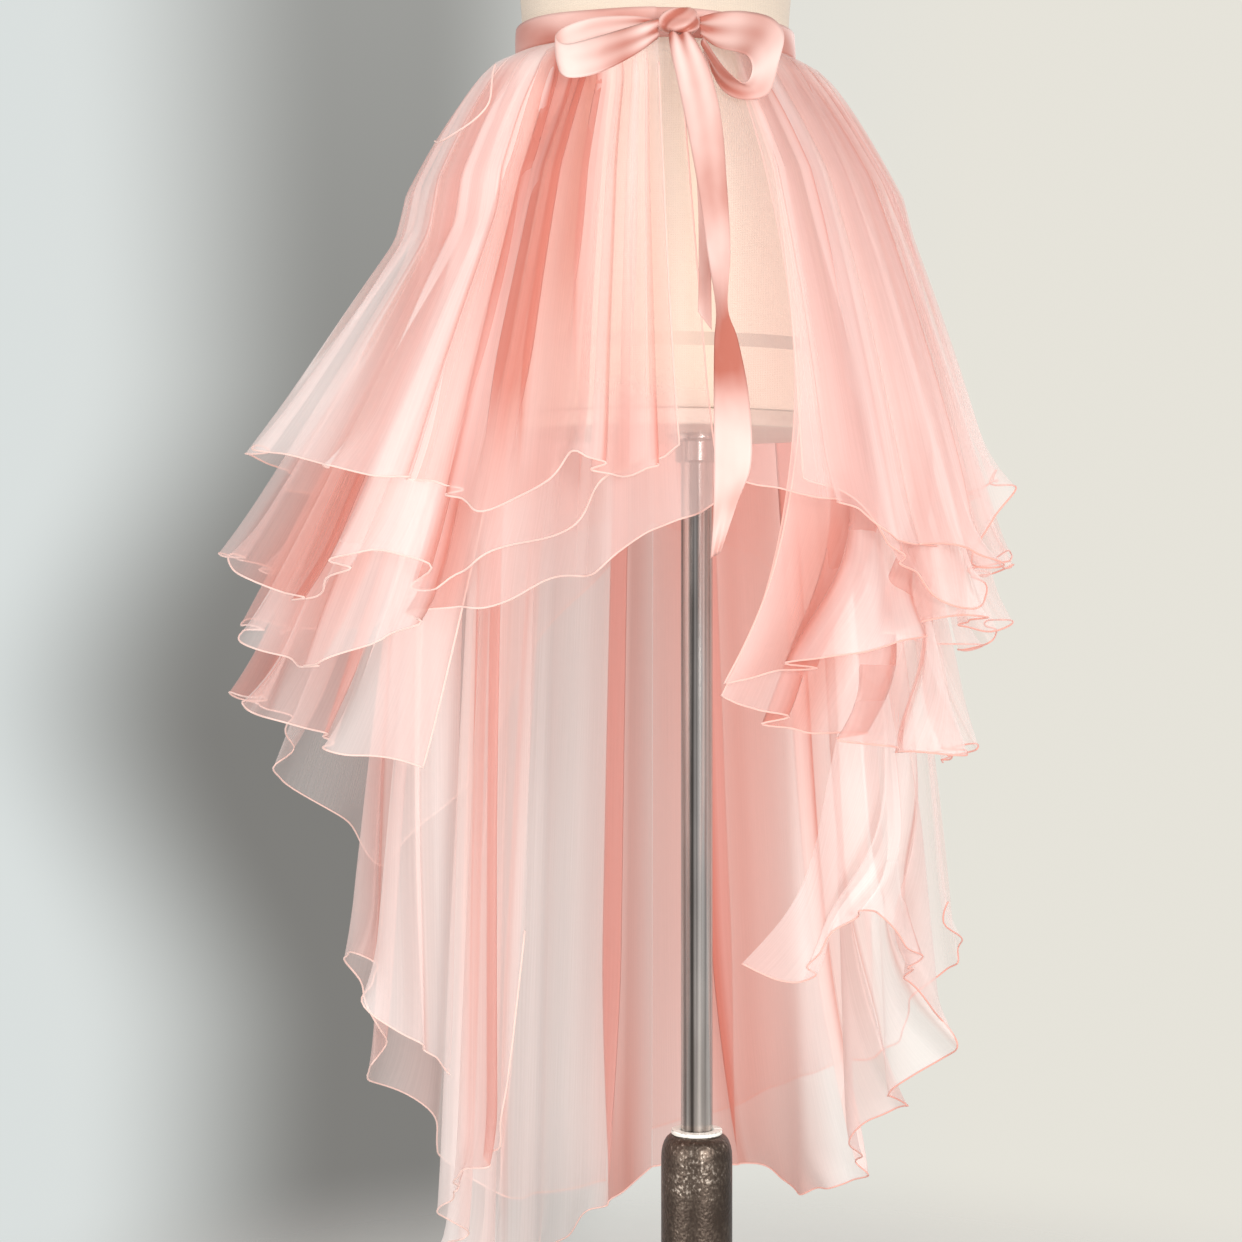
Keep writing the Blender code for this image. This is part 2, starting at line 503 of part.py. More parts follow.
def lower_tube(bronze, ivory):
    """The thick lower tube, its blind bore for the pole, its rounded shoulder, and the collar on its rim."""
    floor = TUBE_TOP_HEIGHT - BORE_DEPTH
    outline = [(BORE_RADIUS, floor), (BORE_RADIUS, TUBE_TOP_HEIGHT), (COLLAR_RADIUS, TUBE_TOP_HEIGHT)]
    for angle in (90, 60, 30, 0):
        outline.append((
            COLLAR_RADIUS + (TUBE_RADIUS - COLLAR_RADIUS) * math.cos(math.radians(angle)),
            TUBE_SHOULDER_HEIGHT + TUBE_SHOULDER_RISE * math.sin(math.radians(angle)),
        ))
    outline.append((TUBE_RADIUS, BASE_HEIGHT + SEAM_GAP))
    turned("stand_lower_tube", outline, bronze)
    rim = TUBE_TOP_HEIGHT + SEAM_GAP
    turned("tube_collar", (
        (BORE_RADIUS, COLLAR_TOP_HEIGHT), (COLLAR_RADIUS, COLLAR_TOP_HEIGHT),
        (COLLAR_RADIUS, rim), (BORE_RADIUS, rim),
    ), ivory, is_ring=True)


def pole_and_board(steel, board):
    """The pole with its flange, and the board that closes the form's underside."""
    plate_bottom = FORM_BOTTOM_HEIGHT - SEAM_GAP - PLATE_THICKNESS
    flange_bottom = plate_bottom - SEAM_GAP - FLANGE_THICKNESS
    foot = TUBE_TOP_HEIGHT - BORE_DEPTH + SEAM_GAP
    turned("pole", (
        (FLANGE_RADIUS, plate_bottom - SEAM_GAP), (FLANGE_RADIUS, flange_bottom),
        (SOCKET_RADIUS, flange_bottom - 0.002), (SOCKET_RADIUS, flange_bottom - SOCKET_HEIGHT),
        (POLE_RADIUS, flange_bottom - SOCKET_HEIGHT - 0.001), (POLE_RADIUS, foot),
    ), steel)
    low = FORM_SECTIONS[0]._replace(height=plate_bottom)
    high = low._replace(height=FORM_BOTTOM_HEIGHT - SEAM_GAP)
    lofted("form_bottom_board", (low, high), board)


def bow_knot(finish):
    """The wrapped knot: a rounded block, narrower at its top and bottom, whose lower half leans forward."""
    rings, count = 7, 16
    points = []
    for ring in range(rings):
        lift = math.radians(-75 + 150 * ring / (rings - 1))
        spread = math.cos(lift) ** 0.5
        below = KNOT_HALF_HEIGHT * math.sin(lift)
        for index in range(count):
            angle = math.tau * index / count
            across = math.copysign(abs(math.cos(angle)) ** KNOT_CORNER, math.cos(angle))
            inwards = math.copysign(abs(math.sin(angle)) ** KNOT_CORNER, math.sin(angle))
            points.append((
                KNOT_CENTRE[0] + KNOT_HALF_WIDTH * across * spread,
                KNOT_CENTRE[1] + KNOT_HALF_DEPTH * inwards * spread - KNOT_LEAN * max(0.0, below),
                KNOT_CENTRE[2] - below,
            ))
    new_object("bow_knot", points, capped_faces(rings, count), finish)


def neck_cap(board):
    """The cap on the form's neck, chamfered round its top."""
    neck = FORM_SECTIONS[-1]
    low = Section(neck.height + SEAM_GAP, CAP_HALF_WIDTH, CAP_HALF_DEPTH, neck.shift_x, neck.shift_y)
    middle = low._replace(height=low.height + CAP_HEIGHT - CAP_CHAMFER_HEIGHT)
    high = low._replace(
        height=low.height + CAP_HEIGHT,
        half_width=CAP_HALF_WIDTH - CAP_CHAMFER_WIDTH,
        half_depth=CAP_HALF_DEPTH - CAP_CHAMFER_WIDTH,
    )
    lofted("form_neck_cap", (low, middle, high), board)


def main():
    for old in list(bpy.data.objects):
        bpy.data.objects.remove(old, do_unlink=True)
    organza = material("organza", ORGANZA, 0.6)
    satin = material("satin", SATIN, 0.35)
    linen = material("linen", LINEN, 0.9)
    board = material("board", BOARD, 0.6)
    steel = material("steel", STEEL, 0.3, 1.0)
    bronze = material("bronze", BRONZE, 0.5, 0.7)
    ivory = material("ivory_plastic", IVORY_PLASTIC, 0.5)
    stand_base(bronze)
    lower_tube(bronze, ivory)
    pole_and_board(steel, board)
    lofted("form_torso", form_levels(), linen)
    neck_cap(board)
    waistband(satin)
    bow_knot(satin)
    for name, rows in (
        ("bow_loop_left", LOOP_LEFT), ("bow_loop_right", LOOP_RIGHT),
        ("bow_tail_front", TAIL_FRONT), ("bow_tail_back", TAIL_BACK),
    ):
        ribbon_strip(name, rows, satin)
    for side in PANELS.values():
        for panel in side:
            cloth_panel(panel, organza)


main()
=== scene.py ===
"""A sheer ruffled overskirt with a satin bow, on a dress form and its stand.

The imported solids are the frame, and each piece here gives one of them its drape, its hem and its finish.
Metres, +Z up, -Y the front. The skirt has its own upright axis: a turn is an angle round it in degrees,
from the front towards the side of the panel it describes, and a drop is a height below the waist line.
"""

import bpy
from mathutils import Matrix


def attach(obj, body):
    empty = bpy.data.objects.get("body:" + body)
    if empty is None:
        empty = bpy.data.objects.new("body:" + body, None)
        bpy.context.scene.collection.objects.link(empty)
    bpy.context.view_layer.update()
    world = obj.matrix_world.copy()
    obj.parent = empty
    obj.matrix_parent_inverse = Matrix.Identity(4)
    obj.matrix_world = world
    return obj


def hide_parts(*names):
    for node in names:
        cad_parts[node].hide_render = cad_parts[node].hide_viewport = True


bl_info = {
    "name": "Ruffled organza skirt",
    "version": (1, 0, 0),
    "blender": (4, 5, 0),
    "location": "View3D > Sidebar > Skirt",
    "description": "Hangs a tiered organza skirt with a satin bow on a dress form",
    "category": "Add Mesh",
}

import math
from collections import namedtuple

import bpy
import numpy as np
from mathutils import Matrix, Vector

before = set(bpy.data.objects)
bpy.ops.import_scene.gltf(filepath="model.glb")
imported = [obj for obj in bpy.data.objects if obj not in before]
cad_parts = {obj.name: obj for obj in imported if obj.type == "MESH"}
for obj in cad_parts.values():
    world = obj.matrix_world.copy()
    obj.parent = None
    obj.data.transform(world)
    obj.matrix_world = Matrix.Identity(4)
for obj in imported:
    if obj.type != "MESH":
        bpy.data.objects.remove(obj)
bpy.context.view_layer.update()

# Driving sizes
WAIST_HEIGHT = 1.216
WAIST_HALF_WIDTH = 0.1185
WAIST_HALF_DEPTH = 0.0845
FORM_TURN = 10.0  # the form and waistband face this far towards +X
SKIRT_AXIS_X = -0.036
SEAM_GAP = 0.0003

BAND_HEIGHT = 0.025
BAND_THICKNESS = 0.0014
BAND_LENGTH = 0.67
RIBBON_WIDTH = 0.028
BACK_SEAM_TURN = 180.0

POLE_RADIUS = 0.014
BORE_CLEARANCE = 0.0008
TUBE_RADIUS = 0.0315
TUBE_FOOT_RADIUS = 0.033
TUBE_FLOOR_RISE = 0.040  # from the tube's foot to the floor of its bore
TUBE_SHOULDER_HEIGHT = 0.236
TUBE_SHOULDER_RISE = 0.0195
TUBE_TOP_HEIGHT = 0.2565
COLLAR_RADIUS = 0.0225
COLLAR_TOP_HEIGHT = 0.2605
BASE_RADIUS = 0.180
BASE_HEIGHT = 0.010
PLATE_THICKNESS = 0.014
FORM_BOTTOM_HEIGHT = 0.889
FLANGE_RADIUS = 0.026
FLANGE_NECK_RADIUS = 0.019

TIER_PITCH = 0.0016  # between one tier and the next at the waist
TIER_CLEARANCE = 0.0095  # and where they hang free
CLEARANCE_DROP = 0.12  # drop at which they hang free
FORM_PITCH = 0.0011  # between the form and the innermost tier at the waist
FORM_CLEARANCE = 0.009
TRAIN_TIERS = (4, 5)
CLOTH_TOP = BAND_HEIGHT / 2 + 3 * SEAM_GAP
EDGE_FADE_TURN = 15.0  # past a panel's edge, the turn over which it stops bearing the tier above
DROPPED_AWAY = 0.050  # how far it falls back there
PAST_FORM = 0.03  # how far below the form's bottom the cloth still lies on it
TIER_ROUNDING = 0.3  # how softly a panel comes to rest on the next, as a share of its clearance
PAST_HEM = 1.15  # the share of the fall where a tier's shape ends, for the tier laid over it

# The drape's finer sizes
FOLD_GROWTH = 1.3  # how late down the fall the deep folds open
GATHER_TURN = 3.1  # from one small gather to the next
GATHER_END = 0.170
PLEAT_START = 0.10  # share of the length where a pleat is fully laid
PLEAT_EASE = 0.35  # share of the length over which it eases out
HEM_FLARE_REACH = 0.055  # the length above a hem that flares with it
HEM_RIPPLES = ((1.0, 1.9, 1.0), (0.8, 3.1, 2.3), (0.5, 1.15, 1.7))  # each wave's size, width and start
SEAM_FADE = (172.0, 179.0)  # turns over which a hem's waves fade out towards the back seam
DOUBLED_TURN = (4.0, 18.0)  # before this turn and below this drop the front flounces' ends lie together
DOUBLED_DROP = (0.30, 0.36)
FRONT_DOUBLED = 2.2  # how many more layers lie there
COLUMNS_PER_TURN = 1.1
PLEAT_COLUMNS = 17
LEAST_COLUMN = 0.12  # columns nearer than this turn are one
ROWS_PER_METRE = 80
EXTRA_ROWS = 18
ROW_CROWDING = 0.92  # under 1 the rows lie closer towards the hem
FIRST_EDGE_ROW = 3  # where the front edge's roll comes out from under the band
FLICK_REACH = 1.6  # a flick's reach in its spans
FOLD_WINDOW = 13.0  # turns each side over which a fold's hollows and crests are told apart
FOLD_DEPTH = 0.0022  # folds shallower than this hardly show
FOLD_PAINTED_SHADE = 0.34  # how much deeper the painted shade is in a fold's trough than on its crest
PAINTED_SHADOW_UNDER_PLEAT, PAINTED_LIGHT_OVER_PLEAT, PAINTED_SHADE_AT_PLEAT_EDGE = 0.36, 0.34, 1.3  # painted shadow under a pleat, painted light over it, and painted shade at its edge
EDGE_ON = 0.62  # cloth turned further side on than this looks no fuller
MOST_GATHERED = 2.6
SWAG_LIFT = 0.0045  # the turned-back edge's height over the overlay
FLOOR_FADE = (0.30, 1.05)  # how far from the pole the floor fades out
PAINTED_LIGHT_LINEN_X = (-0.03, 0.06)  # where painted light lifts the form's linen, towards +X and downwards
PAINTED_LIGHT_LINEN_HEIGHT = (1.24, 1.19)

# Rows of the tables below
Section = namedtuple("Section", "height half_width half_depth shift_x shift_y")  # a level of the form
Fold = namedtuple("Fold", "turn out")  # how far a deep crest (+) or trough (-) stands out at the hem
Swell = namedtuple("Swell", "turn power")  # 1 falls straight from waist to hem, less swells out at the hip
Crease = namedtuple("Crease", "turn span out top end")  # a soft crease between two drops
Hem = namedtuple("Hem", "turn drop reach")  # the hem line, with a row for each rise and fall
Full = namedtuple("Full", "turn layers top low")  # layers of thread; depth of painted shade at waist, hem
Pleat = namedtuple("Pleat", "turn span lap end")  # it laps the other way under 0 and eases at its end
Flick = namedtuple("Flick", "turn span out lift")  # where a hem stands out and lifts
Cut = namedtuple("Cut", "width length area")  # the flat cloth before it is gathered or folded
Ribbon = namedtuple("Ribbon", "ax ay az bx by bz")  # the ribbon's two edges at a station
Station = namedtuple("Station", ("place", *Ribbon._fields))
Tone = namedtuple("Tone", "place depth")  # painted highlight and shade along a run, 0 pale to 1 deep
Swag = namedtuple("Swag", "place turn drop")  # a line laid over a panel
Drape = namedtuple("Drape", "folds swell creases")  # what the panels of one side share
# side is -1 at the left and 1 at the right, and swing says how late down the fall a panel turns to its hem
Panel = namedtuple("Panel", "name side tier waist_front waist_back swing cut hem fullness pleats flicks")
Run = namedtuple("Run", "name cut camber ripple far edges tones")  # far is 0 where both ends meet the knot, and the last column gives the painted highlights and shade along the run
Lamp = namedtuple("Lamp", "kind place aim size tall shadow shine")  # aimed at a height on the pole's axis


def table(kind, *rows):
    """Rows of one kind, each from its plain values."""
    return tuple(kind(*row) for row in rows)


# The dress form's level sections, bottom to top, and the levels between them
FORM_SECTIONS = table(Section,
    (0.889, 0.15, 0.11, -0.018, 0.0), (0.895, 0.153, 0.113, -0.018, 0.0),
    (0.94, 0.155, 0.116, -0.022, 0.002), (1.01, 0.152, 0.115, -0.027, 0.003),
    (1.08, 0.142, 0.105, -0.031, 0.002), (1.15, 0.1265, 0.0915, -0.034, 0.0),
    (1.216, 0.1188, 0.0848, -0.036, 0.0), (1.29, 0.124, 0.09, -0.036, -0.002),
    (1.36, 0.136, 0.104, -0.036, -0.008), (1.41, 0.141, 0.106, -0.036, -0.009),
    (1.46, 0.146, 0.096, -0.036, -0.004), (1.51, 0.15, 0.08, -0.036, 0.002),
    (1.54, 0.132, 0.07, -0.036, 0.006), (1.562, 0.09, 0.06, -0.036, 0.008),
    (1.58, 0.064, 0.054, -0.036, 0.006), (1.63, 0.056, 0.052, -0.036, 0.002),
)
EXTRA_FORM_LEVELS = (
    0.891, 0.915, 0.975, 1.045, 1.115, 1.178, 1.2, 1.232, 1.253, 1.325, 1.385, 1.435, 1.485, 1.55,
    1.571, 1.605, 1.628,
)

# The tape round the form's hips
TAPE_BOTTOM, TAPE_TOP = 0.9395, 0.9530
TAPE_EDGE = 0.0003  # the height of the tape's own edge

# The deep folds, the bell and the soft creases of the tiers (False) and the train (True) on each side
DRAPES = {
    (-1, False): Drape(
        folds=table(Fold,
            (-14, 0.0), (-4, 0.008), (4, -0.01), (11, 0.014), (19, -0.014), (28, 0.02), (38, -0.012),
            (47, 0.018), (57, -0.014), (67, 0.018), (77, -0.012), (87, 0.01), (98, -0.018), (110, 0.02),
            (122, -0.02), (134, 0.02), (147, -0.018), (160, 0.018), (172, -0.01), (180, 0.0),
        ),
        swell=table(Swell,
            (-20, 0.75), (20, 0.85), (55, 1.08), (100, 1.1), (180, 0.75),
        ),
        creases=table(Crease,
            (-8, 3.6, 0.0013, 0.05, 0.3), (1, 3.1, 0.0012, 0.03, 0.4), (8, 2.5, 0.0015, 0.02, 0.36),
            (15, 2.8, 0.0013, 0.03, 0.42), (23, 3.4, 0.0017, 0.02, 0.34), (31, 2.7, 0.0015, 0.06, 0.5),
            (40, 3.6, 0.002, 0.02, 0.44), (50, 3.1, 0.0015, 0.02, 0.36), (58, 3.9, 0.002, 0.05, 0.52),
            (67, 3.1, 0.0015, 0.02, 0.4), (75, 3.6, 0.0018, 0.08, 0.55), (86, 3.4, 0.0017, 0.02, 0.44),
            (97, 4.2, 0.002, 0.03, 0.56), (109, 3.4, 0.0017, 0.02, 0.44), (120, 4.5, 0.002, 0.05, 0.6),
            (133, 3.6, 0.0017, 0.02, 0.46), (146, 4.5, 0.002, 0.04, 0.62), (160, 3.9, 0.0017, 0.02, 0.5),
        ),
    ),
    (-1, True): Drape(
        folds=table(Fold,
            (38, 0.008), (46, 0.006), (55, -0.01), (65, 0.012), (76, -0.01), (87, 0.012), (98, -0.014),
            (109, 0.016), (120, -0.018), (131, 0.018), (142, -0.02), (154, 0.018), (163, 0.004),
            (173, -0.018), (180, 0.0),
        ),
        swell=table(Swell,
            (40, 0.45), (180, 0.55),
        ),
        creases=table(Crease,
            (52, 3.1, 0.001, 0.36, 0.95), (62, 3.6, 0.0013, 0.3, 0.9), (73, 3.1, 0.001, 0.44, 1.05),
            (83, 3.9, 0.0015, 0.32, 1.0), (95, 3.4, 0.001, 0.4, 1.05), (104, 3.9, 0.0015, 0.34, 0.98),
            (115, 3.4, 0.0012, 0.46, 1.1), (126, 3.9, 0.0015, 0.34, 1.12), (137, 3.1, 0.0012, 0.44, 1.14),
            (147, 3.6, 0.0015, 0.32, 1.1), (157, 3.1, 0.0012, 0.46, 1.14), (166, 3.1, 0.0012, 0.34, 1.08),
        ),
    ),
    (1, False): Drape(
        folds=table(Fold,
            (10, 0.004), (19, -0.004), (28, -0.012), (36, 0.016), (45, -0.012), (54, 0.016), (63, -0.014),
            (72, 0.014), (81, -0.008), (89, 0.008), (99, -0.016), (110, 0.018), (122, -0.02), (134, 0.02),
            (147, -0.018), (160, 0.018), (172, -0.01), (180, 0.0),
        ),
        swell=table(Swell,
            (0, 0.75), (40, 0.68), (90, 0.66), (180, 0.75),
        ),
        creases=table(Crease,
            (19, 2.8, 0.0012, 0.02, 0.5), (27, 2.7, 0.0015, 0.03, 0.38), (35, 3.4, 0.0017, 0.02, 0.46),
            (43, 2.7, 0.0013, 0.06, 0.5), (51, 3.6, 0.002, 0.02, 0.42), (60, 3.1, 0.0015, 0.03, 0.5),
            (69, 3.6, 0.0018, 0.02, 0.4), (78, 3.1, 0.0017, 0.06, 0.54), (88, 3.6, 0.0018, 0.02, 0.44),
            (99, 4.2, 0.002, 0.04, 0.56), (112, 3.6, 0.0017, 0.02, 0.44), (124, 4.5, 0.002, 0.05, 0.6),
            (138, 3.6, 0.0017, 0.02, 0.46), (151, 4.5, 0.002, 0.04, 0.6), (165, 3.6, 0.0015, 0.02, 0.5),
        ),
    ),
    (1, True): Drape(
        folds=table(Fold,
            (24, 0.0), (36, 0.01), (48, -0.01), (60, 0.012), (72, -0.01), (83, 0.012), (94, -0.012),
            (105, 0.014), (116, -0.014), (127, 0.016), (138, -0.014), (150, 0.006), (160, -0.006),
            (170, 0.006), (180, 0.0),
        ),
        swell=table(Swell,
            (20, 0.45), (180, 0.55),
        ),
        creases=table(Crease,
            (31, 3.1, 0.001, 0.36, 0.8), (42, 3.6, 0.0013, 0.3, 0.76), (54, 3.1, 0.001, 0.4, 0.82),
            (67, 3.9, 0.0015, 0.32, 0.84), (78, 3.4, 0.001, 0.44, 0.86), (89, 3.9, 0.0015, 0.34, 0.92),
            (100, 3.4, 0.0012, 0.44, 0.96), (110, 3.9, 0.0015, 0.34, 1.0), (121, 3.1, 0.0012, 0.46, 1.04),
            (132, 3.9, 0.0015, 0.32, 1.06), (144, 3.1, 0.0012, 0.44, 1.08),
            (155, 3.6, 0.0015, 0.34, 1.08), (165, 3.1, 0.0012, 0.46, 1.06),
        ),
    ),
}

# The panels, left side then right side, from the outermost tier inwards
PANELS = (
    Panel(
        "overlay_left", side=-1, tier=0, waist_front=0, waist_back=180, swing=1.0,
        cut=Cut(1.3, 0.46, 0.44),
        hem=table(Hem,
            (-4, 0.367, 0.205), (8, 0.392, 0.21), (17, 0.377, 0.232), (28, 0.418, 0.262),
            (39, 0.396, 0.29), (48, 0.39, 0.32), (67, 0.366, 0.34), (88, 0.362, 0.351),
            (112, 0.385, 0.342), (140, 0.383, 0.325), (180, 0.35, 0.3),
        ),
        fullness=table(Full,
            (-4, 0.5, 0.2, 0.45), (8, 0.55, 0.35, 0.45), (16, 0.85, 0.45, 0.4), (22, 1.25, 0.75, 0.65),
            (28, 1.5, 1.0, 0.8), (33, 1.5, 1.0, 0.55), (38, 1.0, 0.8, 0.12), (43, 1.0, 0.25, 0.22),
            (50, 1.0, 0.18, 0.14), (58, 1.25, 0.1, 0.02), (75, 1.3, 0.16, 0.0), (95, 1.2, 0.28, 0.15),
            (180, 1.3, 0.4, 0.4),
        ),
        pleats=table(Pleat,
            (1, 2.4, -1.0, 1.3), (12, 3.0, -1.4, 1.3), (20, 2.6, 1.1, 0.8), (26, 2.4, 1.3, 1.0),
            (30.7, 2.3, -1.5, 1.0), (35.5, 2.4, 1.5, 1.3), (41.5, 3.0, -1.6, 1.3), (51, 3.4, 1.2, 0.8),
            (60, 3.6, -1.2, 0.9), (72, 4.0, 1.4, 0.8), (84, 4.0, -1.4, 0.9), (98, 5.0, 1.3, 1.2),
            (118, 5.0, -1.4, 0.9), (136, 5.5, 1.4, 1.2), (158, 5.5, -1.3, 0.9),
        ),
        flicks=table(Flick,
            (17, 3.0, 0.01, 0.004), (28, 2.5, 0.006, -0.004), (48, 3.0, 0.012, 0.006),
            (60, 3.0, 0.008, 0.002), (73, 3.5, 0.006, 0.004), (88, 3.5, -0.004, 0.002),
            (104, 4.0, -0.004, 0.004), (126, 4.0, 0.014, 0.005), (148, 4.0, 0.012, 0.004),
            (168, 4.0, 0.01, 0.003),
        ),
    ),
    Panel(
        "second_flounce_left", side=-1, tier=1, waist_front=5, waist_back=180, swing=1.0,
        cut=Cut(1.35, 0.54, 0.5),
        hem=table(Hem,
            (3, 0.372, 0.19), (12, 0.395, 0.205), (19, 0.43, 0.216), (26, 0.452, 0.248),
            (33, 0.47, 0.275), (37, 0.483, 0.294), (40, 0.46, 0.306), (45, 0.457, 0.318),
            (52, 0.48, 0.334), (59, 0.486, 0.346), (67, 0.465, 0.358), (86, 0.45, 0.373),
            (105, 0.462, 0.362), (135, 0.44, 0.338), (180, 0.368, 0.305),
        ),
        fullness=table(Full,
            (3, 0.5, 0.2, 0.4), (14, 0.55, 0.2, 0.4), (22, 0.7, 0.3, 0.35), (30, 1.0, 0.4, 0.5),
            (38, 1.1, 0.7, 0.7), (44, 1.0, 0.3, 0.22), (52, 1.1, 0.5, 0.5), (60, 1.0, 0.6, 0.75),
            (70, 0.9, 0.5, 0.5), (86, 0.85, 0.5, 0.45), (180, 1.4, 0.5, 0.5),
        ),
        pleats=table(Pleat,
            (8, 2.6, 1.2, 1.3), (21, 3.2, 1.3, 0.85), (30, 3.0, -1.3, 1.0), (38.5, 3.0, -1.8, 1.4),
            (47, 3.2, 1.7, 1.3), (58, 3.6, 1.4, 1.3), (70, 4.0, -1.4, 0.9), (92, 5.0, 1.3, 1.3),
            (110, 5.0, -1.3, 0.9), (128, 5.5, 1.3, 1.2), (152, 5.5, -1.3, 0.9),
        ),
        flicks=table(Flick,
            (26, 3.0, 0.008, 0.003), (43, 3.0, 0.01, 0.005), (57, 3.0, 0.01, -0.003),
            (72, 3.5, 0.004, 0.005), (88, 3.5, -0.002, 0.004), (110, 4.0, 0.012, 0.004),
            (134, 4.0, 0.012, 0.004), (158, 4.0, 0.01, 0.003),
        ),
    ),
    Panel(
        "third_flounce_left", side=-1, tier=2, waist_front=-10, waist_back=180, swing=1.0,
        cut=Cut(1.4, 0.6, 0.54),
        hem=table(Hem,
            (-14, 0.409, 0.19), (-5, 0.425, 0.194), (5, 0.44, 0.198), (13, 0.466, 0.208),
            (21, 0.476, 0.224), (27, 0.493, 0.252), (36, 0.5, 0.302), (40, 0.516, 0.32),
            (46, 0.534, 0.336), (56, 0.54, 0.348), (67, 0.524, 0.352), (90, 0.508, 0.354),
            (110, 0.518, 0.344), (135, 0.49, 0.33), (155, 0.435, 0.315), (180, 0.386, 0.305),
        ),
        fullness=table(Full,
            (-14, 0.55, 0.2, 0.4), (5, 0.6, 0.25, 0.4), (15, 0.7, 0.3, 0.35), (25, 0.9, 0.4, 0.45),
            (36, 1.2, 0.6, 0.65), (44, 1.1, 0.35, 0.25), (54, 1.2, 0.6, 0.65), (66, 1.0, 0.35, 0.25),
            (88, 1.0, 0.7, 0.7), (180, 1.4, 0.5, 0.5),
        ),
        pleats=table(Pleat,
            (6, 3.0, -1.2, 0.75), (19, 3.0, 1.2, 1.0), (29, 3.4, -1.3, 0.8), (38, 3.2, -1.8, 1.4),
            (52, 3.6, 1.5, 1.2), (63, 3.6, -1.4, 1.0), (74, 4.0, 1.5, 1.2), (105, 5.5, -1.3, 0.8),
            (126, 5.5, 1.3, 1.0), (148, 5.5, -1.3, 0.8),
        ),
        flicks=table(Flick,
            (21, 3.0, 0.008, 0.003), (38, 3.0, 0.012, 0.005), (56, 3.0, 0.01, -0.003),
            (72, 3.5, 0.004, 0.005), (90, 3.5, -0.002, 0.004), (112, 4.0, 0.012, 0.004),
            (136, 4.0, 0.012, 0.004), (160, 4.0, 0.01, 0.003),
        ),
    ),
    Panel(
        "side_flounce_left", side=-1, tier=3, waist_front=31, waist_back=180, swing=1.0,
        cut=Cut(1.15, 0.84, 0.6),
        hem=table(Hem,
            (38, 0.62, 0.312), (43, 0.612, 0.318), (50, 0.609, 0.325), (62, 0.591, 0.334),
            (74, 0.573, 0.348), (86, 0.573, 0.362), (97, 0.592, 0.346), (106, 0.628, 0.34),
            (112, 0.658, 0.36), (119, 0.695, 0.35), (128, 0.745, 0.336), (140, 0.69, 0.316),
            (158, 0.53, 0.297), (180, 0.404, 0.29),
        ),
        fullness=table(Full,
            (38, 1.6, 0.35, 0.28), (46, 1.5, 0.35, 0.26), (54, 1.3, 0.6, 0.5), (62, 1.0, 0.3, 0.25),
            (72, 1.1, 0.6, 0.55), (86, 1.0, 0.6, 0.6), (106, 0.7, 0.3, 0.15), (130, 0.7, 0.3, 0.15),
            (180, 1.4, 0.5, 0.5),
        ),
        pleats=table(Pleat,
            (49, 3.4, -1.3, 1.0), (58, 3.6, 1.5, 1.2), (68, 3.6, -1.4, 1.2), (79, 4.0, 1.5, 1.3),
            (92, 4.5, -1.4, 1.2), (107, 5.0, 1.4, 1.2), (128, 5.5, -1.3, 1.0), (150, 5.5, 1.3, 1.1),
        ),
        flicks=table(Flick,
            (50, 3.0, 0.008, 0.003), (70, 3.0, 0.012, 0.005), (86, 3.0, 0.0, 0.004),
            (102, 3.5, 0.012, 0.004), (124, 4.0, 0.012, 0.004), (150, 4.0, 0.01, 0.003),
        ),
    ),
    Panel(
        "train_side_left", side=-1, tier=4, waist_front=62, waist_back=168, swing=1.0,
        cut=Cut(0.7, 0.98, 0.52),
        hem=table(Hem,
            (47, 0.876, 0.226), (55, 0.864, 0.236), (62, 0.842, 0.246), (70, 0.815, 0.252),
            (80, 0.797, 0.257), (90, 0.815, 0.26), (99, 0.88, 0.258), (107, 0.925, 0.26),
            (116, 0.95, 0.258), (126, 1.0, 0.25), (138, 1.052, 0.244), (155, 1.072, 0.243),
            (169, 1.06, 0.245),
        ),
        fullness=table(Full,
            (47, 1.4, 0.5, 0.4), (52, 1.4, 0.25, 0.1), (58, 1.4, 0.22, 0.05), (66, 1.4, 0.35, 0.22),
            (74, 1.2, 0.6, 0.65), (84, 1.2, 0.5, 0.4), (96, 1.0, 0.5, 0.4), (126, 1.5, 0.45, 0.22),
            (140, 0.95, 0.3, 0.26), (152, 0.95, 0.3, 0.26), (160, 0.9, 0.4, 0.4), (169, 1.0, 0.5, 0.5),
        ),
        pleats=table(Pleat,
            (57, 3.4, 1.3, 1.2), (78, 4.2, 1.5, 1.1), (102, 4.6, 1.5, 1.2), (133, 4.8, 1.3, 0.9),
        ),
        flicks=table(Flick,
            (66, 3.0, 0.008, 0.003), (80, 3.0, 0.01, 0.005), (96, 3.0, 0.01, 0.004),
            (114, 4.0, 0.01, 0.004), (134, 4.0, 0.01, 0.004),
        ),
    ),
    Panel(
        "train_back_left", side=-1, tier=5, waist_front=45, waist_back=180, swing=1.0,
        cut=Cut(0.8, 1.14, 0.64),
        hem=table(Hem,
            (38, 0.76, 0.17), (43, 0.872, 0.171), (52, 0.944, 0.173), (64, 0.977, 0.176),
            (84, 1.018, 0.18), (107, 1.074, 0.184), (133, 1.118, 0.196), (158, 1.11, 0.216),
            (170, 1.077, 0.243), (180, 1.052, 0.262),
        ),
        fullness=table(Full,
            (38, 1.0, 0.3, 0.18), (48, 1.1, 0.35, 0.25), (56, 1.3, 0.6, 0.5), (64, 1.2, 0.3, 0.18),
            (80, 1.4, 0.4, 0.25), (96, 1.6, 0.45, 0.2), (120, 1.6, 0.36, 0.16), (134, 1.15, 0.3, 0.22),
            (154, 1.1, 0.32, 0.28), (160, 1.2, 0.3, 0.3), (167, 1.4, 0.45, 0.45), (171, 2.6, 1.0, 1.0),
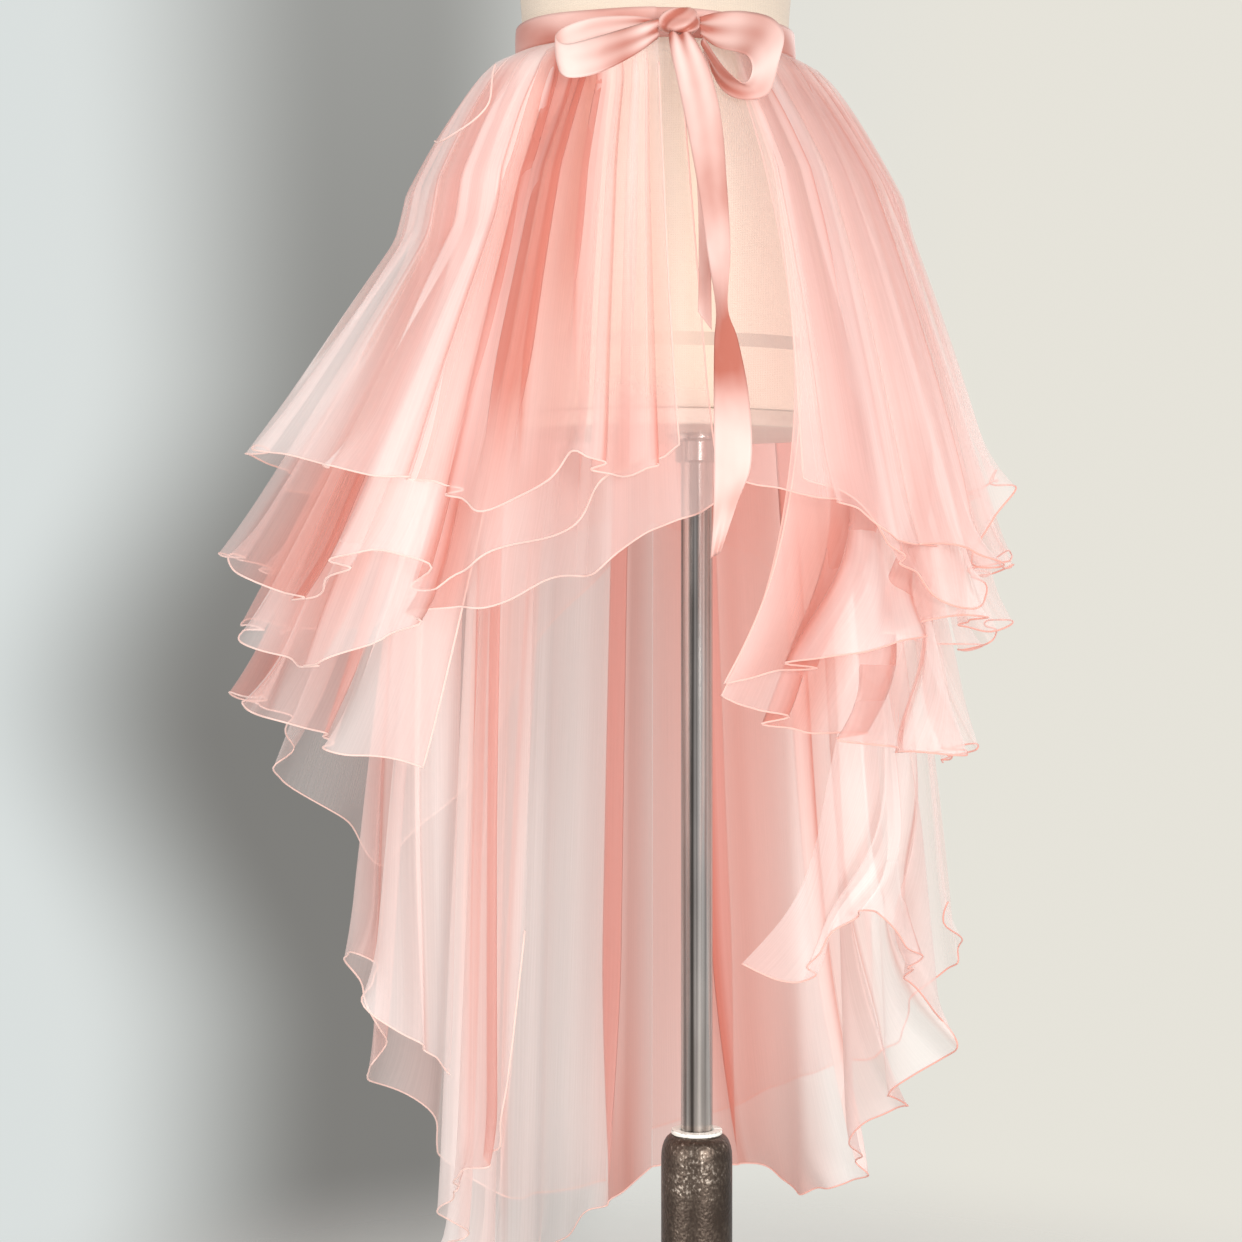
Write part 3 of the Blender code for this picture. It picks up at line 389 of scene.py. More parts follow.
            (176, 3.2, 1.0, 1.0), (180, 2.6, 0.85, 0.85),
        ),
        pleats=table(Pleat,
            (57, 4.6, 1.7, 1.3), (74, 4.8, -1.4, 1.2), (100, 5.0, -1.4, 1.1), (134, 5.0, -1.4, 1.1),
            (169, 4.2, -1.4, 1.1),
        ),
        flicks=table(Flick,
            (60, 3.0, 0.008, 0.003), (76, 3.5, 0.01, 0.004), (94, 3.5, 0.01, 0.004),
            (112, 3.5, 0.012, 0.004), (130, 3.5, 0.01, 0.004), (148, 3.5, 0.012, 0.004),
            (164, 3.5, 0.01, 0.003),
        ),
    ),
    Panel(
        "overlay_right", side=1, tier=0, waist_front=17, waist_back=180, swing=1.0,
        cut=Cut(1.1, 0.46, 0.39),
        hem=table(Hem,
            (15, 0.396, 0.195), (24, 0.404, 0.206), (32, 0.416, 0.222), (37, 0.437, 0.238),
            (45, 0.443, 0.268), (53, 0.449, 0.284), (59, 0.47, 0.288), (64, 0.45, 0.282),
            (72, 0.402, 0.278), (82, 0.385, 0.272), (100, 0.392, 0.278), (135, 0.388, 0.3),
            (180, 0.35, 0.3),
        ),
        fullness=table(Full,
            (15, 0.75, 0.04, 0.12), (24, 0.7, 0.1, 0.2), (32, 0.85, 0.3, 0.26), (37, 1.1, 0.55, 0.5),
            (40, 1.1, 0.12, 0.14), (48, 1.1, 0.3, 0.22), (56, 1.0, 0.75, 0.4), (64, 0.85, 0.6, 0.35),
            (75, 0.75, 0.5, 0.22), (90, 0.8, 0.4, 0.3), (180, 1.3, 0.4, 0.4),
        ),
        pleats=table(Pleat,
            (31, 2.4, 1.0, 1.3), (38, 2.6, 1.2, 0.7), (47, 3.2, 1.6, 1.3), (60, 3.4, 1.6, 1.1),
            (70, 3.2, 1.6, 0.7), (81, 3.6, 1.5, 1.0), (96, 4.5, -1.4, 0.9), (114, 5.5, 1.4, 0.8),
            (134, 5.5, -1.4, 1.2), (156, 5.5, 1.3, 0.9),
        ),
        flicks=table(Flick,
            (32, 2.5, 0.008, 0.003), (45, 3.0, 0.008, -0.002), (58, 3.0, 0.016, 0.008),
            (73, 2.5, 0.01, 0.004), (82, 2.5, 0.01, 0.01), (91, 2.5, 0.004, 0.006),
            (105, 4.0, 0.012, 0.004), (127, 4.0, 0.014, 0.005), (150, 4.0, 0.012, 0.004),
        ),
    ),
    Panel(
        "second_flounce_right", side=1, tier=1, waist_front=35, waist_back=180, swing=0.8,
        cut=Cut(1.1, 0.54, 0.4),
        hem=table(Hem,
            (28, 0.392, 0.205), (35, 0.412, 0.226), (41, 0.455, 0.252), (46, 0.478, 0.272),
            (52, 0.495, 0.281), (58, 0.486, 0.29), (64, 0.468, 0.294), (76, 0.452, 0.298),
            (87, 0.46, 0.303), (100, 0.466, 0.304), (135, 0.44, 0.312), (180, 0.368, 0.305),
        ),
        fullness=table(Full,
            (28, 0.7, 0.3, 0.22), (40, 0.9, 0.4, 0.35), (48, 0.9, 0.3, 0.28), (56, 0.9, 0.5, 0.45),
            (66, 0.8, 0.3, 0.18), (80, 0.7, 0.4, 0.3), (95, 0.8, 0.3, 0.18), (180, 1.4, 0.5, 0.5),
        ),
        pleats=table(Pleat,
            (42, 3.0, 1.4, 1.2), (53, 3.6, -1.4, 1.1), (65, 3.6, 1.6, 1.3), (77, 4.0, -1.5, 1.3),
            (90, 4.0, 1.5, 1.3), (107, 5.5, -1.3, 0.8), (128, 5.5, 1.3, 1.0), (150, 5.5, -1.3, 0.8),
        ),
        flicks=table(Flick,
            (44, 3.0, 0.01, 0.004), (60, 3.0, 0.012, 0.005), (77, 3.0, 0.006, 0.006),
            (90, 3.0, 0.004, 0.006), (112, 4.0, 0.012, 0.004), (136, 4.0, 0.012, 0.004),
            (160, 4.0, 0.01, 0.003),
        ),
    ),
    Panel(
        "third_flounce_right", side=1, tier=2, waist_front=34, waist_back=180, swing=3.5,
        cut=Cut(1.15, 0.62, 0.46),
        hem=table(Hem,
            (11, 0.554, 0.25), (19, 0.548, 0.26), (30, 0.534, 0.272), (38, 0.523, 0.282),
            (46, 0.508, 0.29), (56, 0.5, 0.294), (67, 0.515, 0.295), (80, 0.506, 0.294),
            (90, 0.524, 0.29), (110, 0.532, 0.294), (135, 0.492, 0.302), (155, 0.435, 0.305),
            (180, 0.386, 0.305),
        ),
        fullness=table(Full,
            (11, 1.0, 0.4, 0.4), (22, 1.2, 0.7, 0.7), (34, 1.2, 0.4, 0.28), (46, 1.1, 0.6, 0.55),
            (58, 0.9, 0.3, 0.22), (80, 0.7, 0.3, 0.15), (180, 1.4, 0.5, 0.5),
        ),
        pleats=table(Pleat,
            (25, 4.0, -1.9, 1.4), (40, 4.0, 1.7, 1.3), (52, 3.4, -1.5, 1.1), (62, 3.6, 1.6, 1.2),
            (75, 4.0, -1.4, 1.2), (90, 5.0, 1.4, 1.2), (110, 5.5, -1.3, 0.8), (130, 5.5, 1.3, 0.8),
        ),
        flicks=table(Flick,
            (19, 3.0, 0.008, 0.003), (38, 3.0, 0.012, 0.005), (56, 3.0, 0.012, -0.003),
            (73, 3.5, 0.004, 0.005), (88, 3.5, 0.0, 0.004), (110, 4.0, 0.012, 0.004),
            (134, 4.0, 0.012, 0.004), (158, 4.0, 0.01, 0.003),
        ),
    ),
    Panel(
        "side_flounce_right", side=1, tier=3, waist_front=34, waist_back=180, swing=3.5,
        cut=Cut(1.1, 0.72, 0.52),
        hem=table(Hem,
            (11, 0.565, 0.24), (18, 0.58, 0.254), (26, 0.594, 0.272), (33, 0.601, 0.282),
            (47, 0.611, 0.284), (62, 0.611, 0.278), (75, 0.618, 0.266), (90, 0.628, 0.26),
            (110, 0.632, 0.266), (128, 0.605, 0.276), (144, 0.53, 0.284), (158, 0.45, 0.29),
            (180, 0.404, 0.29),
        ),
        fullness=table(Full,
            (11, 0.9, 0.4, 0.4), (24, 1.2, 0.8, 0.8), (36, 1.0, 0.35, 0.28), (50, 0.9, 0.5, 0.5),
            (64, 0.8, 0.3, 0.18), (90, 0.7, 0.3, 0.15), (180, 1.4, 0.5, 0.5),
        ),
        pleats=table(Pleat,
            (20, 3.6, 1.5, 1.3), (31, 4.0, 1.8, 1.4), (44, 3.6, -1.5, 1.2), (58, 4.0, 1.5, 1.2),
            (72, 4.0, -1.4, 1.2), (86, 4.5, 1.5, 1.2), (104, 5.0, -1.3, 1.0), (126, 5.5, 1.3, 1.2),
        ),
        flicks=table(Flick,
            (18, 3.0, 0.01, 0.003), (30, 3.0, 0.01, 0.005), (52, 3.0, 0.01, -0.003),
            (70, 3.5, 0.0, 0.005), (88, 3.5, -0.01, 0.004), (110, 4.0, 0.012, 0.004),
            (136, 4.0, 0.012, 0.004), (160, 4.0, 0.01, 0.003),
        ),
    ),
    Panel(
        "train_side_right", side=1, tier=4, waist_front=90, waist_back=180, swing=1.0,
        cut=Cut(0.66, 1.04, 0.41),
        hem=table(Hem,
            (92, 0.757, 0.266), (100, 0.799, 0.268), (108, 0.832, 0.266), (120, 0.885, 0.272),
            (130, 0.923, 0.278), (146, 0.952, 0.286), (166, 1.0, 0.29), (180, 1.02, 0.29),
        ),
        fullness=table(Full,
            (92, 0.6, 0.1, 0.05), (110, 0.9, 0.15, 0.05), (125, 1.5, 0.35, 0.08), (135, 2.0, 0.6, 0.25),
            (150, 1.9, 0.7, 0.6), (165, 1.4, 0.6, 0.5), (180, 1.2, 0.4, 0.4),
        ),
        pleats=table(Pleat,
            (103, 4.2, 1.5, 1.2), (131, 4.8, 1.4, 1.1),
        ),
        flicks=table(Flick,
            (100, 3.0, 0.01, 0.004), (118, 3.5, 0.01, 0.004), (138, 3.5, 0.01, 0.004),
            (158, 3.5, 0.01, 0.003),
        ),
    ),
    Panel(
        "train_back_right", side=1, tier=5, waist_front=55, waist_back=180, swing=6.5,
        cut=Cut(0.86, 1.08, 0.7),
        hem=table(Hem,
            (24, 0.786, 0.165), (35, 0.8, 0.185), (45, 0.764, 0.204), (54, 0.748, 0.218),
            (63, 0.792, 0.225), (75, 0.822, 0.234), (84, 0.88, 0.238), (98, 0.937, 0.214),
            (110, 0.965, 0.202), (120, 1.01, 0.217), (131, 1.043, 0.228), (144, 1.061, 0.244),
            (158, 1.049, 0.266), (170, 1.049, 0.272), (180, 1.052, 0.262),
        ),
        fullness=table(Full,
            (24, 1.1, 0.14, 0.06), (50, 1.2, 0.18, 0.06), (75, 1.2, 0.18, 0.12), (98, 1.6, 0.24, 0.12),
            (115, 2.0, 0.5, 0.08), (130, 2.4, 0.9, 0.25), (142, 2.8, 1.0, 0.75), (158, 3.0, 1.0, 0.95),
            (168, 2.6, 0.9, 0.75), (180, 2.0, 0.65, 0.65),
        ),
        pleats=table(Pleat,
            (38, 4.0, -1.2, 1.3), (50, 4.5, 1.3, 1.2), (64, 4.6, 1.8, 1.4), (82, 5.0, -1.4, 1.2),
            (100, 5.0, 1.5, 1.3), (124, 5.0, -1.4, 1.2), (161, 4.4, 1.3, 1.1),
        ),
        flicks=table(Flick,
            (34, 3.0, 0.008, 0.003), (50, 3.5, 0.01, 0.004), (66, 3.5, 0.01, 0.004),
            (84, 3.5, 0.012, 0.004), (102, 3.5, 0.01, 0.004), (120, 3.5, 0.012, 0.004),
            (138, 3.5, 0.01, 0.003), (156, 3.5, 0.01, 0.003),
        ),
    ),
)
SIDES = {side: [panel for panel in PANELS if panel.side == side] for side in (-1, 1)}

# The turned-back edge that loops over the left overlay under the waistband
SWAG = table(Swag,
    (0.0, 64, 0.03), (0.2, 58, 0.052), (0.4, 55, 0.072), (0.6, 59, 0.088), (0.8, 68, 0.097),
    (1.0, 78, 0.09),
)

# The bow: runs of one satin ribbon, each from the knot outwards
RUNS = (
    Run(
        "bow_loop_left", cut=Cut(0.028, 0.185, None), camber=0.0014, ripple=0.002, far=0.0,
        edges=table(Ribbon,
            (-0.036, -0.106, 1.215, -0.0365, -0.108, 1.1975),
            (-0.058, -0.115, 1.206, -0.057, -0.124, 1.179),
            (-0.088, -0.123, 1.195, -0.087, -0.134, 1.162), (-0.112, -0.128, 1.188, -0.11, -0.137, 1.158),
            (-0.1215, -0.1225, 1.195, -0.1185, -0.13, 1.167),
            (-0.114, -0.113, 1.206, -0.112, -0.121, 1.179),
            (-0.09, -0.107, 1.2155, -0.089, -0.116, 1.189), (-0.06, -0.104, 1.218, -0.059, -0.111, 1.196),
            (-0.036, -0.101, 1.217, -0.036, -0.1025, 1.203),
        ),
        tones=table(Tone,
            (0.0, 1.0), (0.06, 0.45), (0.16, 0.7), (0.27, 0.25), (0.38, 0.02), (0.47, 0.3), (0.54, 0.55),
            (0.64, 0.15), (0.78, 0.35), (0.9, 0.55), (1.0, 1.0),
        ),
    ),
    Run(
        "bow_loop_right", cut=Cut(0.028, 0.185, None), camber=0.0014, ripple=0.002, far=0.0,
        edges=table(Ribbon,
            (-0.001, -0.1, 1.218, -0.001, -0.1085, 1.201), (0.0162, -0.102, 1.2215, 0.012, -0.12, 1.188),
            (0.037, -0.104, 1.2215, 0.028, -0.131, 1.181), (0.059, -0.108, 1.215, 0.037, -0.137, 1.176),
            (0.069, -0.115, 1.199, 0.041, -0.14, 1.167), (0.064, -0.126, 1.174, 0.039, -0.144, 1.156),
            (0.0545, -0.136, 1.145, 0.0325, -0.148, 1.151), (0.033, -0.14, 1.139, 0.022, -0.147, 1.159),
            (0.015, -0.133, 1.15, 0.013, -0.137, 1.172), (0.0, -0.115, 1.184, 0.0, -0.12, 1.196),
        ),
        tones=table(Tone,
            (0.0, 1.0), (0.08, 0.7), (0.18, 0.4), (0.3, 0.65), (0.42, 0.3), (0.54, 0.08), (0.64, 0.45),
            (0.76, 0.8), (0.88, 0.95), (1.0, 1.0),
        ),
    ),
    Run(
        "bow_tail_front", cut=Cut(0.028, 0.4, None), camber=0.0014, ripple=0.0022, far=1.0,
        edges=table(Ribbon,
            (-0.027, -0.1095, 1.2012, -0.0095, -0.1095, 1.2014),
            (-0.0255, -0.118, 1.184, -0.003, -0.119, 1.19), (-0.02, -0.13, 1.155, 0.007, -0.131, 1.164),
            (-0.012, -0.147, 1.11, 0.0155, -0.148, 1.12), (-0.004, -0.164, 1.06, 0.019, -0.165, 1.064),
            (0.003, -0.18, 1.005, 0.021, -0.183, 1.008), (0.009, -0.194, 0.96, 0.018, -0.202, 0.96),
            (0.007, -0.206, 0.93, 0.026, -0.208, 0.932), (0.006, -0.221, 0.88, 0.034, -0.221, 0.884),
            (0.006, -0.229, 0.83, 0.035, -0.229, 0.834), (0.005, -0.231, 0.788, 0.024, -0.231, 0.802),
            (0.003, -0.231, 0.759, 0.011, -0.231, 0.764),
        ),
        tones=table(Tone,
            (0.0, 0.95), (0.05, 0.55), (0.13, 0.25), (0.22, 0.3), (0.3, 0.45), (0.38, 0.65), (0.45, 0.3),
            (0.52, 0.6), (0.58, 0.95), (0.68, 1.0), (0.73, 0.45), (0.78, 0.18), (0.84, 0.2), (0.89, 0.45),
            (0.95, 0.3), (1.0, 0.55),
        ),
    ),
    Run(
        "bow_tail_back", cut=Cut(0.014, 0.235, None), camber=0.0006, ripple=0.0006, far=1.0,
        edges=table(Ribbon,
            (-0.023, -0.106, 1.2014, -0.011, -0.106, 1.2014), (-0.015, -0.118, 1.17, 0.0005, -0.12, 1.17),
            (-0.008, -0.136, 1.12, 0.0025, -0.141, 1.12), (-0.004, -0.153, 1.05, 0.006, -0.156, 1.05),
            (-0.004, -0.17, 0.99, 0.006, -0.172, 0.99), (-0.005, -0.1785, 0.959, 0.006, -0.1815, 0.944),
        ),
        tones=table(Tone,
            (0.0, 0.8), (0.5, 0.4), (0.9, 0.55), (1.0, 0.35),
        ),
    ),
)
KNOT_WIDE, KNOT_DEEP, KNOT_TALL = 0.0168, 0.0118, 0.0110
KNOT_CENTRE = (-0.0185, -0.1020, 1.2130)
KNOT_LEAN = 0.5  # how far it leans to the front below its middle
KNOT_FOLDS = (0.08, 0.03)  # how deep its broad and its narrow folds are
KNOT_PAINTED_SHADE = (0.84, 0.34, 0.20)  # depth of the knot's painted shade, and how much each kind of fold lightens or deepens it
PAINTED_CREASE_SHADE = 0.55  # how strongly the painted shade of the creases at the knot shows
CREASE_REACH = 0.13  # how far it runs, in shares of a run
BAND_CROWN = 0.0006
BAND_WRINKLE = 0.00045

# The camera, the room's lamps and how far their light is followed
CAMERA_PLACE = (-0.067, -2.0, 0.71)
CAMERA_LENS = 65.507
CAMERA_SENSOR = 36.0
LAMP_COLOUR = (1.0, 0.985, 0.96)
LAMPS = table(Lamp,
    ("key", (1.6, -2.5, 1.15), 0.72, 1.3, None, True, 0.35),
    ("fill", (-2.4, -1.9, 0.9), 0.70, 2.4, None, False, 1.0),
    ("back", (1.6, 2.3, 1.7), 0.70, 2.0, None, False, 0.1),
    ("strip", (0.75, -2.2, 0.9), 0.75, 0.42, 1.9, False, 1.0),
)
BOUNCES = {
    "transparent_max_bounces": 28, "max_bounces": 3, "diffuse_bounces": 2, "glossy_bounces": 2,
    "transmission_bounces": 2,
}


def curve_through(rows, column, at):
    """A smooth curve through a column of a table whose first column is the place; level past both ends."""
    places = np.array([row[0] for row in rows], float)
    values = np.array([getattr(row, column) for row in rows], float)
    slopes = np.gradient(values, places)
    at = np.clip(at, places[0], places[-1])
    row = np.clip(np.searchsorted(places, at, side="right") - 1, 0, len(places) - 2)
    span = places[row + 1] - places[row]
    s = (at - places[row]) / span
    return (
        (1 + 2 * s) * (1 - s) ** 2 * values[row]
        + s * (1 - s) ** 2 * span * slopes[row]
        + s * s * (3 - 2 * s) * values[row + 1]
        + s * s * (s - 1) * span * slopes[row + 1]
    )


def bump(offset):
    """1 at the middle, falling smoothly to 0 at 1 on each side."""
    return np.where(np.abs(offset) < 1.0, np.cos(np.pi / 2 * np.clip(offset, -1, 1)) ** 2, 0.0)


def eased(value, start, end):
    """0 before start, 1 past end, smooth between."""
    share = np.clip((value - start) / (end - start), 0.0, 1.0)
    return share * share * (3 - 2 * share)


def unit(vectors):
    """The same directions with a length of 1."""
    return vectors / np.maximum(np.linalg.norm(vectors, axis=-1, keepdims=True), 1e-9)


def run_lengths(points):
    """The length run along each line of points, from its first point."""
    steps = np.linalg.norm(np.diff(points, axis=0), axis=-1)
    return np.concatenate([np.zeros((1, *steps.shape[1:])), np.cumsum(steps, axis=0)])


def round_axis(turn, reach, height):
    """Points at a turn towards +X, a reach from the skirt's axis and a height."""
    angle = np.radians(turn)
    places = (SKIRT_AXIS_X + reach * np.sin(angle), -reach * np.cos(angle), height)
    return np.stack(np.broadcast_arrays(*places), axis=-1)


def form_section(height, grow=0.0):
    """The form's section at a height, a little larger or smaller."""
    half_width, half_depth, shift_x, shift_y = (
        curve_through(FORM_SECTIONS, column, height) for column in Section._fields[1:])
    return Section(height, half_width + grow, half_depth + grow, shift_x, shift_y)


def oval_reach(turn, half_width, half_depth):
    """The radius of an oval turned to face FORM_TURN, towards a turn measured from the front to +X."""
    angle = np.radians(turn - FORM_TURN)
    return half_width * half_depth / np.hypot(half_depth * np.sin(angle), half_width * np.cos(angle))


def form_reach(turn, drop):
    """The dress form's own radius about the skirt's axis."""
    section = form_section(WAIST_HEIGHT - drop)
    angle = np.radians(turn)
    shift = (section.shift_x - SKIRT_AXIS_X) * np.sin(angle) - section.shift_y * np.cos(angle)
    return oval_reach(turn, section.half_width, section.half_depth) + shift


def drape_of(panel):
    return DRAPES[panel.side, panel.tier in TRAIN_TIERS]


def own_reach(panel, turn, drop):
    """Where a panel would hang with nothing under it: a bell from the waist to its hem, with its folds."""
    drape = drape_of(panel)
    hem_drop = curve_through(panel.hem, "drop", turn)
    hem_reach = curve_through(panel.hem, "reach", turn)
    fall = np.clip((drop - CLOTH_TOP) / (hem_drop - CLOTH_TOP), 0.0, PAST_HEM)
    waist = oval_reach(turn * panel.side, WAIST_HALF_WIDTH, WAIST_HALF_DEPTH)
    waist = waist + TIER_PITCH * (len(SIDES[panel.side]) - panel.tier)
    fold = curve_through(drape.folds, "out", turn) * fall**FOLD_GROWTH
    return waist + (hem_reach - waist) * fall ** curve_through(drape.swell, "power", turn) + fold


def presence(panel, turn):
    """1 where the panel hangs, falling smoothly to 0 a little past its front and back edges."""
    front = min(panel.waist_front, panel.hem[0].turn)
    back = max(panel.waist_back, panel.hem[-1].turn)
    return eased(np.minimum(turn - front, back - turn), -EDGE_FADE_TURN, 0.0)


def laid_reach(panel, turn, drop):
    """Where the panel hangs on the tiers beneath it, or on the form: never nearer than its clearance."""
    tiers = SIDES[panel.side]
    ease = np.clip((drop - CLOTH_TOP) / CLEARANCE_DROP, 0.0, 1.0)
    if panel.tier + 1 < len(tiers):
        next_tier = tiers[panel.tier + 1]
        clearance = TIER_PITCH + (TIER_CLEARANCE - TIER_PITCH) * ease * presence(next_tier, turn)
        under = laid_reach(next_tier, turn, drop) + clearance
    else:
        is_beside_form = drop < WAIST_HEIGHT - FORM_BOTTOM_HEIGHT + PAST_FORM
        clearance = FORM_PITCH + (FORM_CLEARANCE - FORM_PITCH) * ease
        under = np.where(is_beside_form, form_reach(turn * panel.side, drop) + clearance, 0.0)
    own = own_reach(panel, turn, drop) - DROPPED_AWAY * (1 - presence(panel, turn)) * ease
    rounding = TIER_ROUNDING * clearance * ease
    return (own + under + np.sqrt((own - under) ** 2 + rounding**2)) / 2


def crease_out(panel, turn, drop):
    """How far the soft creases shared by a side's tiers stand out."""
    out = 0.0
    for crease in drape_of(panel).creases:
        length = crease.end - crease.top
        run = eased(drop, crease.top, crease.top + 0.3 * length)
        run = run * (1 - eased(drop, crease.end - 0.4 * length, crease.end))
        out = out + crease.out * np.exp(-((turn - crease.turn) / crease.span) ** 2) * run
    return out


def gather_out(turn, drop, size):
    """The small gathers under the waistband, alike in every tier."""
    ripple = 0.6 * np.sin(math.tau * turn / GATHER_TURN + 1.4 * np.sin(turn / 9.0))
    ripple = ripple + 0.4 * np.sin(turn / 1.13)
    run = eased(drop, CLOTH_TOP, CLOTH_TOP + 0.02) * (1 - eased(drop, 0.3 * GATHER_END, GATHER_END))
    return size * (1 + ripple) * run


def pleat_run(pleat, down):
    """1 where a pleat is laid, easing in under the waist and out again at its end."""
    return eased(down, 0.0, PLEAT_START) * (1 - eased(down, pleat.end - PLEAT_EASE, pleat.end))


def pleat_shift(panel, hem_turn, down):
    """A pleat's turn to the side and its leaves' lift, where the cloth doubles back on itself."""
    sideways = 0.0
    lift = 0.0
    for pleat in panel.pleats:
        offset = (hem_turn - pleat.turn) / pleat.span
        leaf = np.sin(np.pi * offset) * bump(offset) * pleat_run(pleat, down)
        sideways = sideways - abs(pleat.lap) * pleat.span * leaf
        lift = lift - math.copysign(1.0, pleat.lap) * leaf
    return sideways, lift


def hem_wave(panel, hem_turn):
    """An uneven small wave along a hem, different on each panel, from 0 to 1."""
    start = 2.1 * panel.tier + 0.9 * panel.side
    wave = sum(size * np.sin(hem_turn / width + shift * start) for size, width, shift in HEM_RIPPLES)
    return 0.5 + wave / (2 * sum(size for size, width, shift in HEM_RIPPLES))


def hem_turns(panel):
    """Turns along a panel's hem, closer together where it is pleated."""
    front, back = panel.hem[0].turn, panel.hem[-1].turn
    turns = list(np.linspace(front, back, round((back - front) * COLUMNS_PER_TURN) + 1))
    for pleat in panel.pleats:
        turns += list(np.linspace(pleat.turn - pleat.span, pleat.turn + pleat.span, PLEAT_COLUMNS))
    turns = np.unique(np.round(np.clip(turns, front, back), 3))
    apart = np.concatenate([[True], np.diff(turns) > LEAST_COLUMN])
    apart[-1] = True
    return turns[apart]


def hung_grid(panel, hem_turn, sizes):
    """The hung cloth's points, row by row from the waist to the hem, and each row's share down."""
    front, back = panel.hem[0].turn, panel.hem[-1].turn
    hem_turn = hem_turn[None, :]
    along = (hem_turn - front) / (back - front)
    longest = max(row.drop for row in panel.hem)
    down = np.linspace(0.0, 1.0, round(longest * ROWS_PER_METRE) + EXTRA_ROWS)[:, None] ** ROW_CROWDING
    waist_turn = panel.waist_front + (panel.waist_back - panel.waist_front) * along
    wave = hem_wave(panel, hem_turn)
    seam_fade = 1 - eased(hem_turn, *SEAM_FADE)
    lift = sizes.hem_wave_drop * (wave - 0.5) * seam_fade
    flare = sizes.hem_wave_out * wave * seam_fade
    for flick in panel.flicks:
        here = bump((hem_turn - flick.turn) / (FLICK_REACH * flick.span)) * seam_fade
        lift = lift + flick.lift * here
        flare = flare + flick.out * here
    plain_drop = curve_through(panel.hem, "drop", hem_turn)
    drop = CLOTH_TOP + (plain_drop - CLOTH_TOP) * down
    turn = waist_turn + (hem_turn - waist_turn) * down**panel.swing
    reach = laid_reach(panel, turn, drop) + crease_out(panel, turn, drop) * seam_fade
    reach = reach + gather_out(turn, drop, sizes.gather_out)
    sideways, leaf = pleat_shift(panel, hem_turn, down)
    turn = turn + sideways
    reach = reach + sizes.pleat_lift * leaf * eased(drop, CLOTH_TOP, 0.10)
    near_hem = np.clip(1 - (plain_drop - drop) / HEM_FLARE_REACH, 0.0, 1.0) ** 2
    reach = reach + flare * near_hem
    drop = drop - lift * near_hem
    half_seam = np.degrees(SEAM_GAP / 2 / reach)
    turn = np.minimum(turn, BACK_SEAM_TURN - half_seam)
    return round_axis(turn * panel.side, reach, WAIST_HEIGHT - drop), down[:, 0]


def swag_path(panel):
    """The line of the turned-back edge, lying just over the overlay."""
    place = np.linspace(0.0, 1.0, 61)
    turn = curve_through(SWAG, "turn", place)
    drop = curve_through(SWAG, "drop", place)
    reach = laid_reach(panel, turn, drop) + SWAG_LIFT
    return round_axis(turn * panel.side, reach, WAIST_HEIGHT - drop)


def hollow_share(points, hem_turn):
    """How deep each point lies in its fold: 0 on a crest, 1 at the bottom of a trough."""
    reach = np.hypot(points[..., 0] - SKIRT_AXIS_X, points[..., 1])
    nearness = np.exp(-((hem_turn[:, None] - hem_turn[None, :]) / FOLD_WINDOW) ** 2)
    nearness = nearness / nearness.sum(axis=1, keepdims=True)
    below = reach @ nearness.T - reach
    size = np.sqrt((below**2).mean(axis=1, keepdims=True)) + FOLD_DEPTH
    return eased(below / size, -1.8, 1.9)


def pleat_painted_shade(panel, hem_turn, down):
    """Painted shadow just under each pleat's edge, and painted light on the leaf that lies over it."""
    shade_paint = 0.0
    for pleat in panel.pleats:
        offset = math.copysign(1.0, pleat.lap) * (hem_turn - pleat.turn) / pleat.span
        under = np.where(offset > -0.3, np.exp(-np.clip(offset - 0.8, 0.0, None) / 1.8), 0.0)
        over = np.where(offset > -0.3, 0.0, np.exp(-np.clip(-0.5 - offset, 0.0, None) / 1.6))
        edge = np.exp(-((offset + 0.40) / 0.09) ** 2)
        strength = min(1.0, 0.55 * abs(pleat.lap))
        tone = PAINTED_SHADOW_UNDER_PLEAT * under - PAINTED_LIGHT_OVER_PLEAT * over + PAINTED_SHADE_AT_PLEAT_EDGE * edge
        shade_paint = shade_paint + strength * tone * pleat_run(pleat, down)
    return shade_paint


def fold_hollow(panel, points, hem_turn, down):
    """Painted shade on the organza at each point, from 0 pale to 1 deep: painted light on crests, painted
    shade in troughs and under pleats.
    """
    near_waist = curve_through(panel.fullness, "top", hem_turn)[None, :]
    near_hem = curve_through(panel.fullness, "low", hem_turn)[None, :]
    shade_paint = near_waist + (near_hem - near_waist) * eased(down, 0.15, 0.85)[:, None]
    shade_paint = shade_paint + FOLD_PAINTED_SHADE * (hollow_share(points, hem_turn) - 0.5)
    return np.clip(shade_paint + pleat_painted_shade(panel, hem_turn[None, :], down[:, None]), 0.0, 1.0)


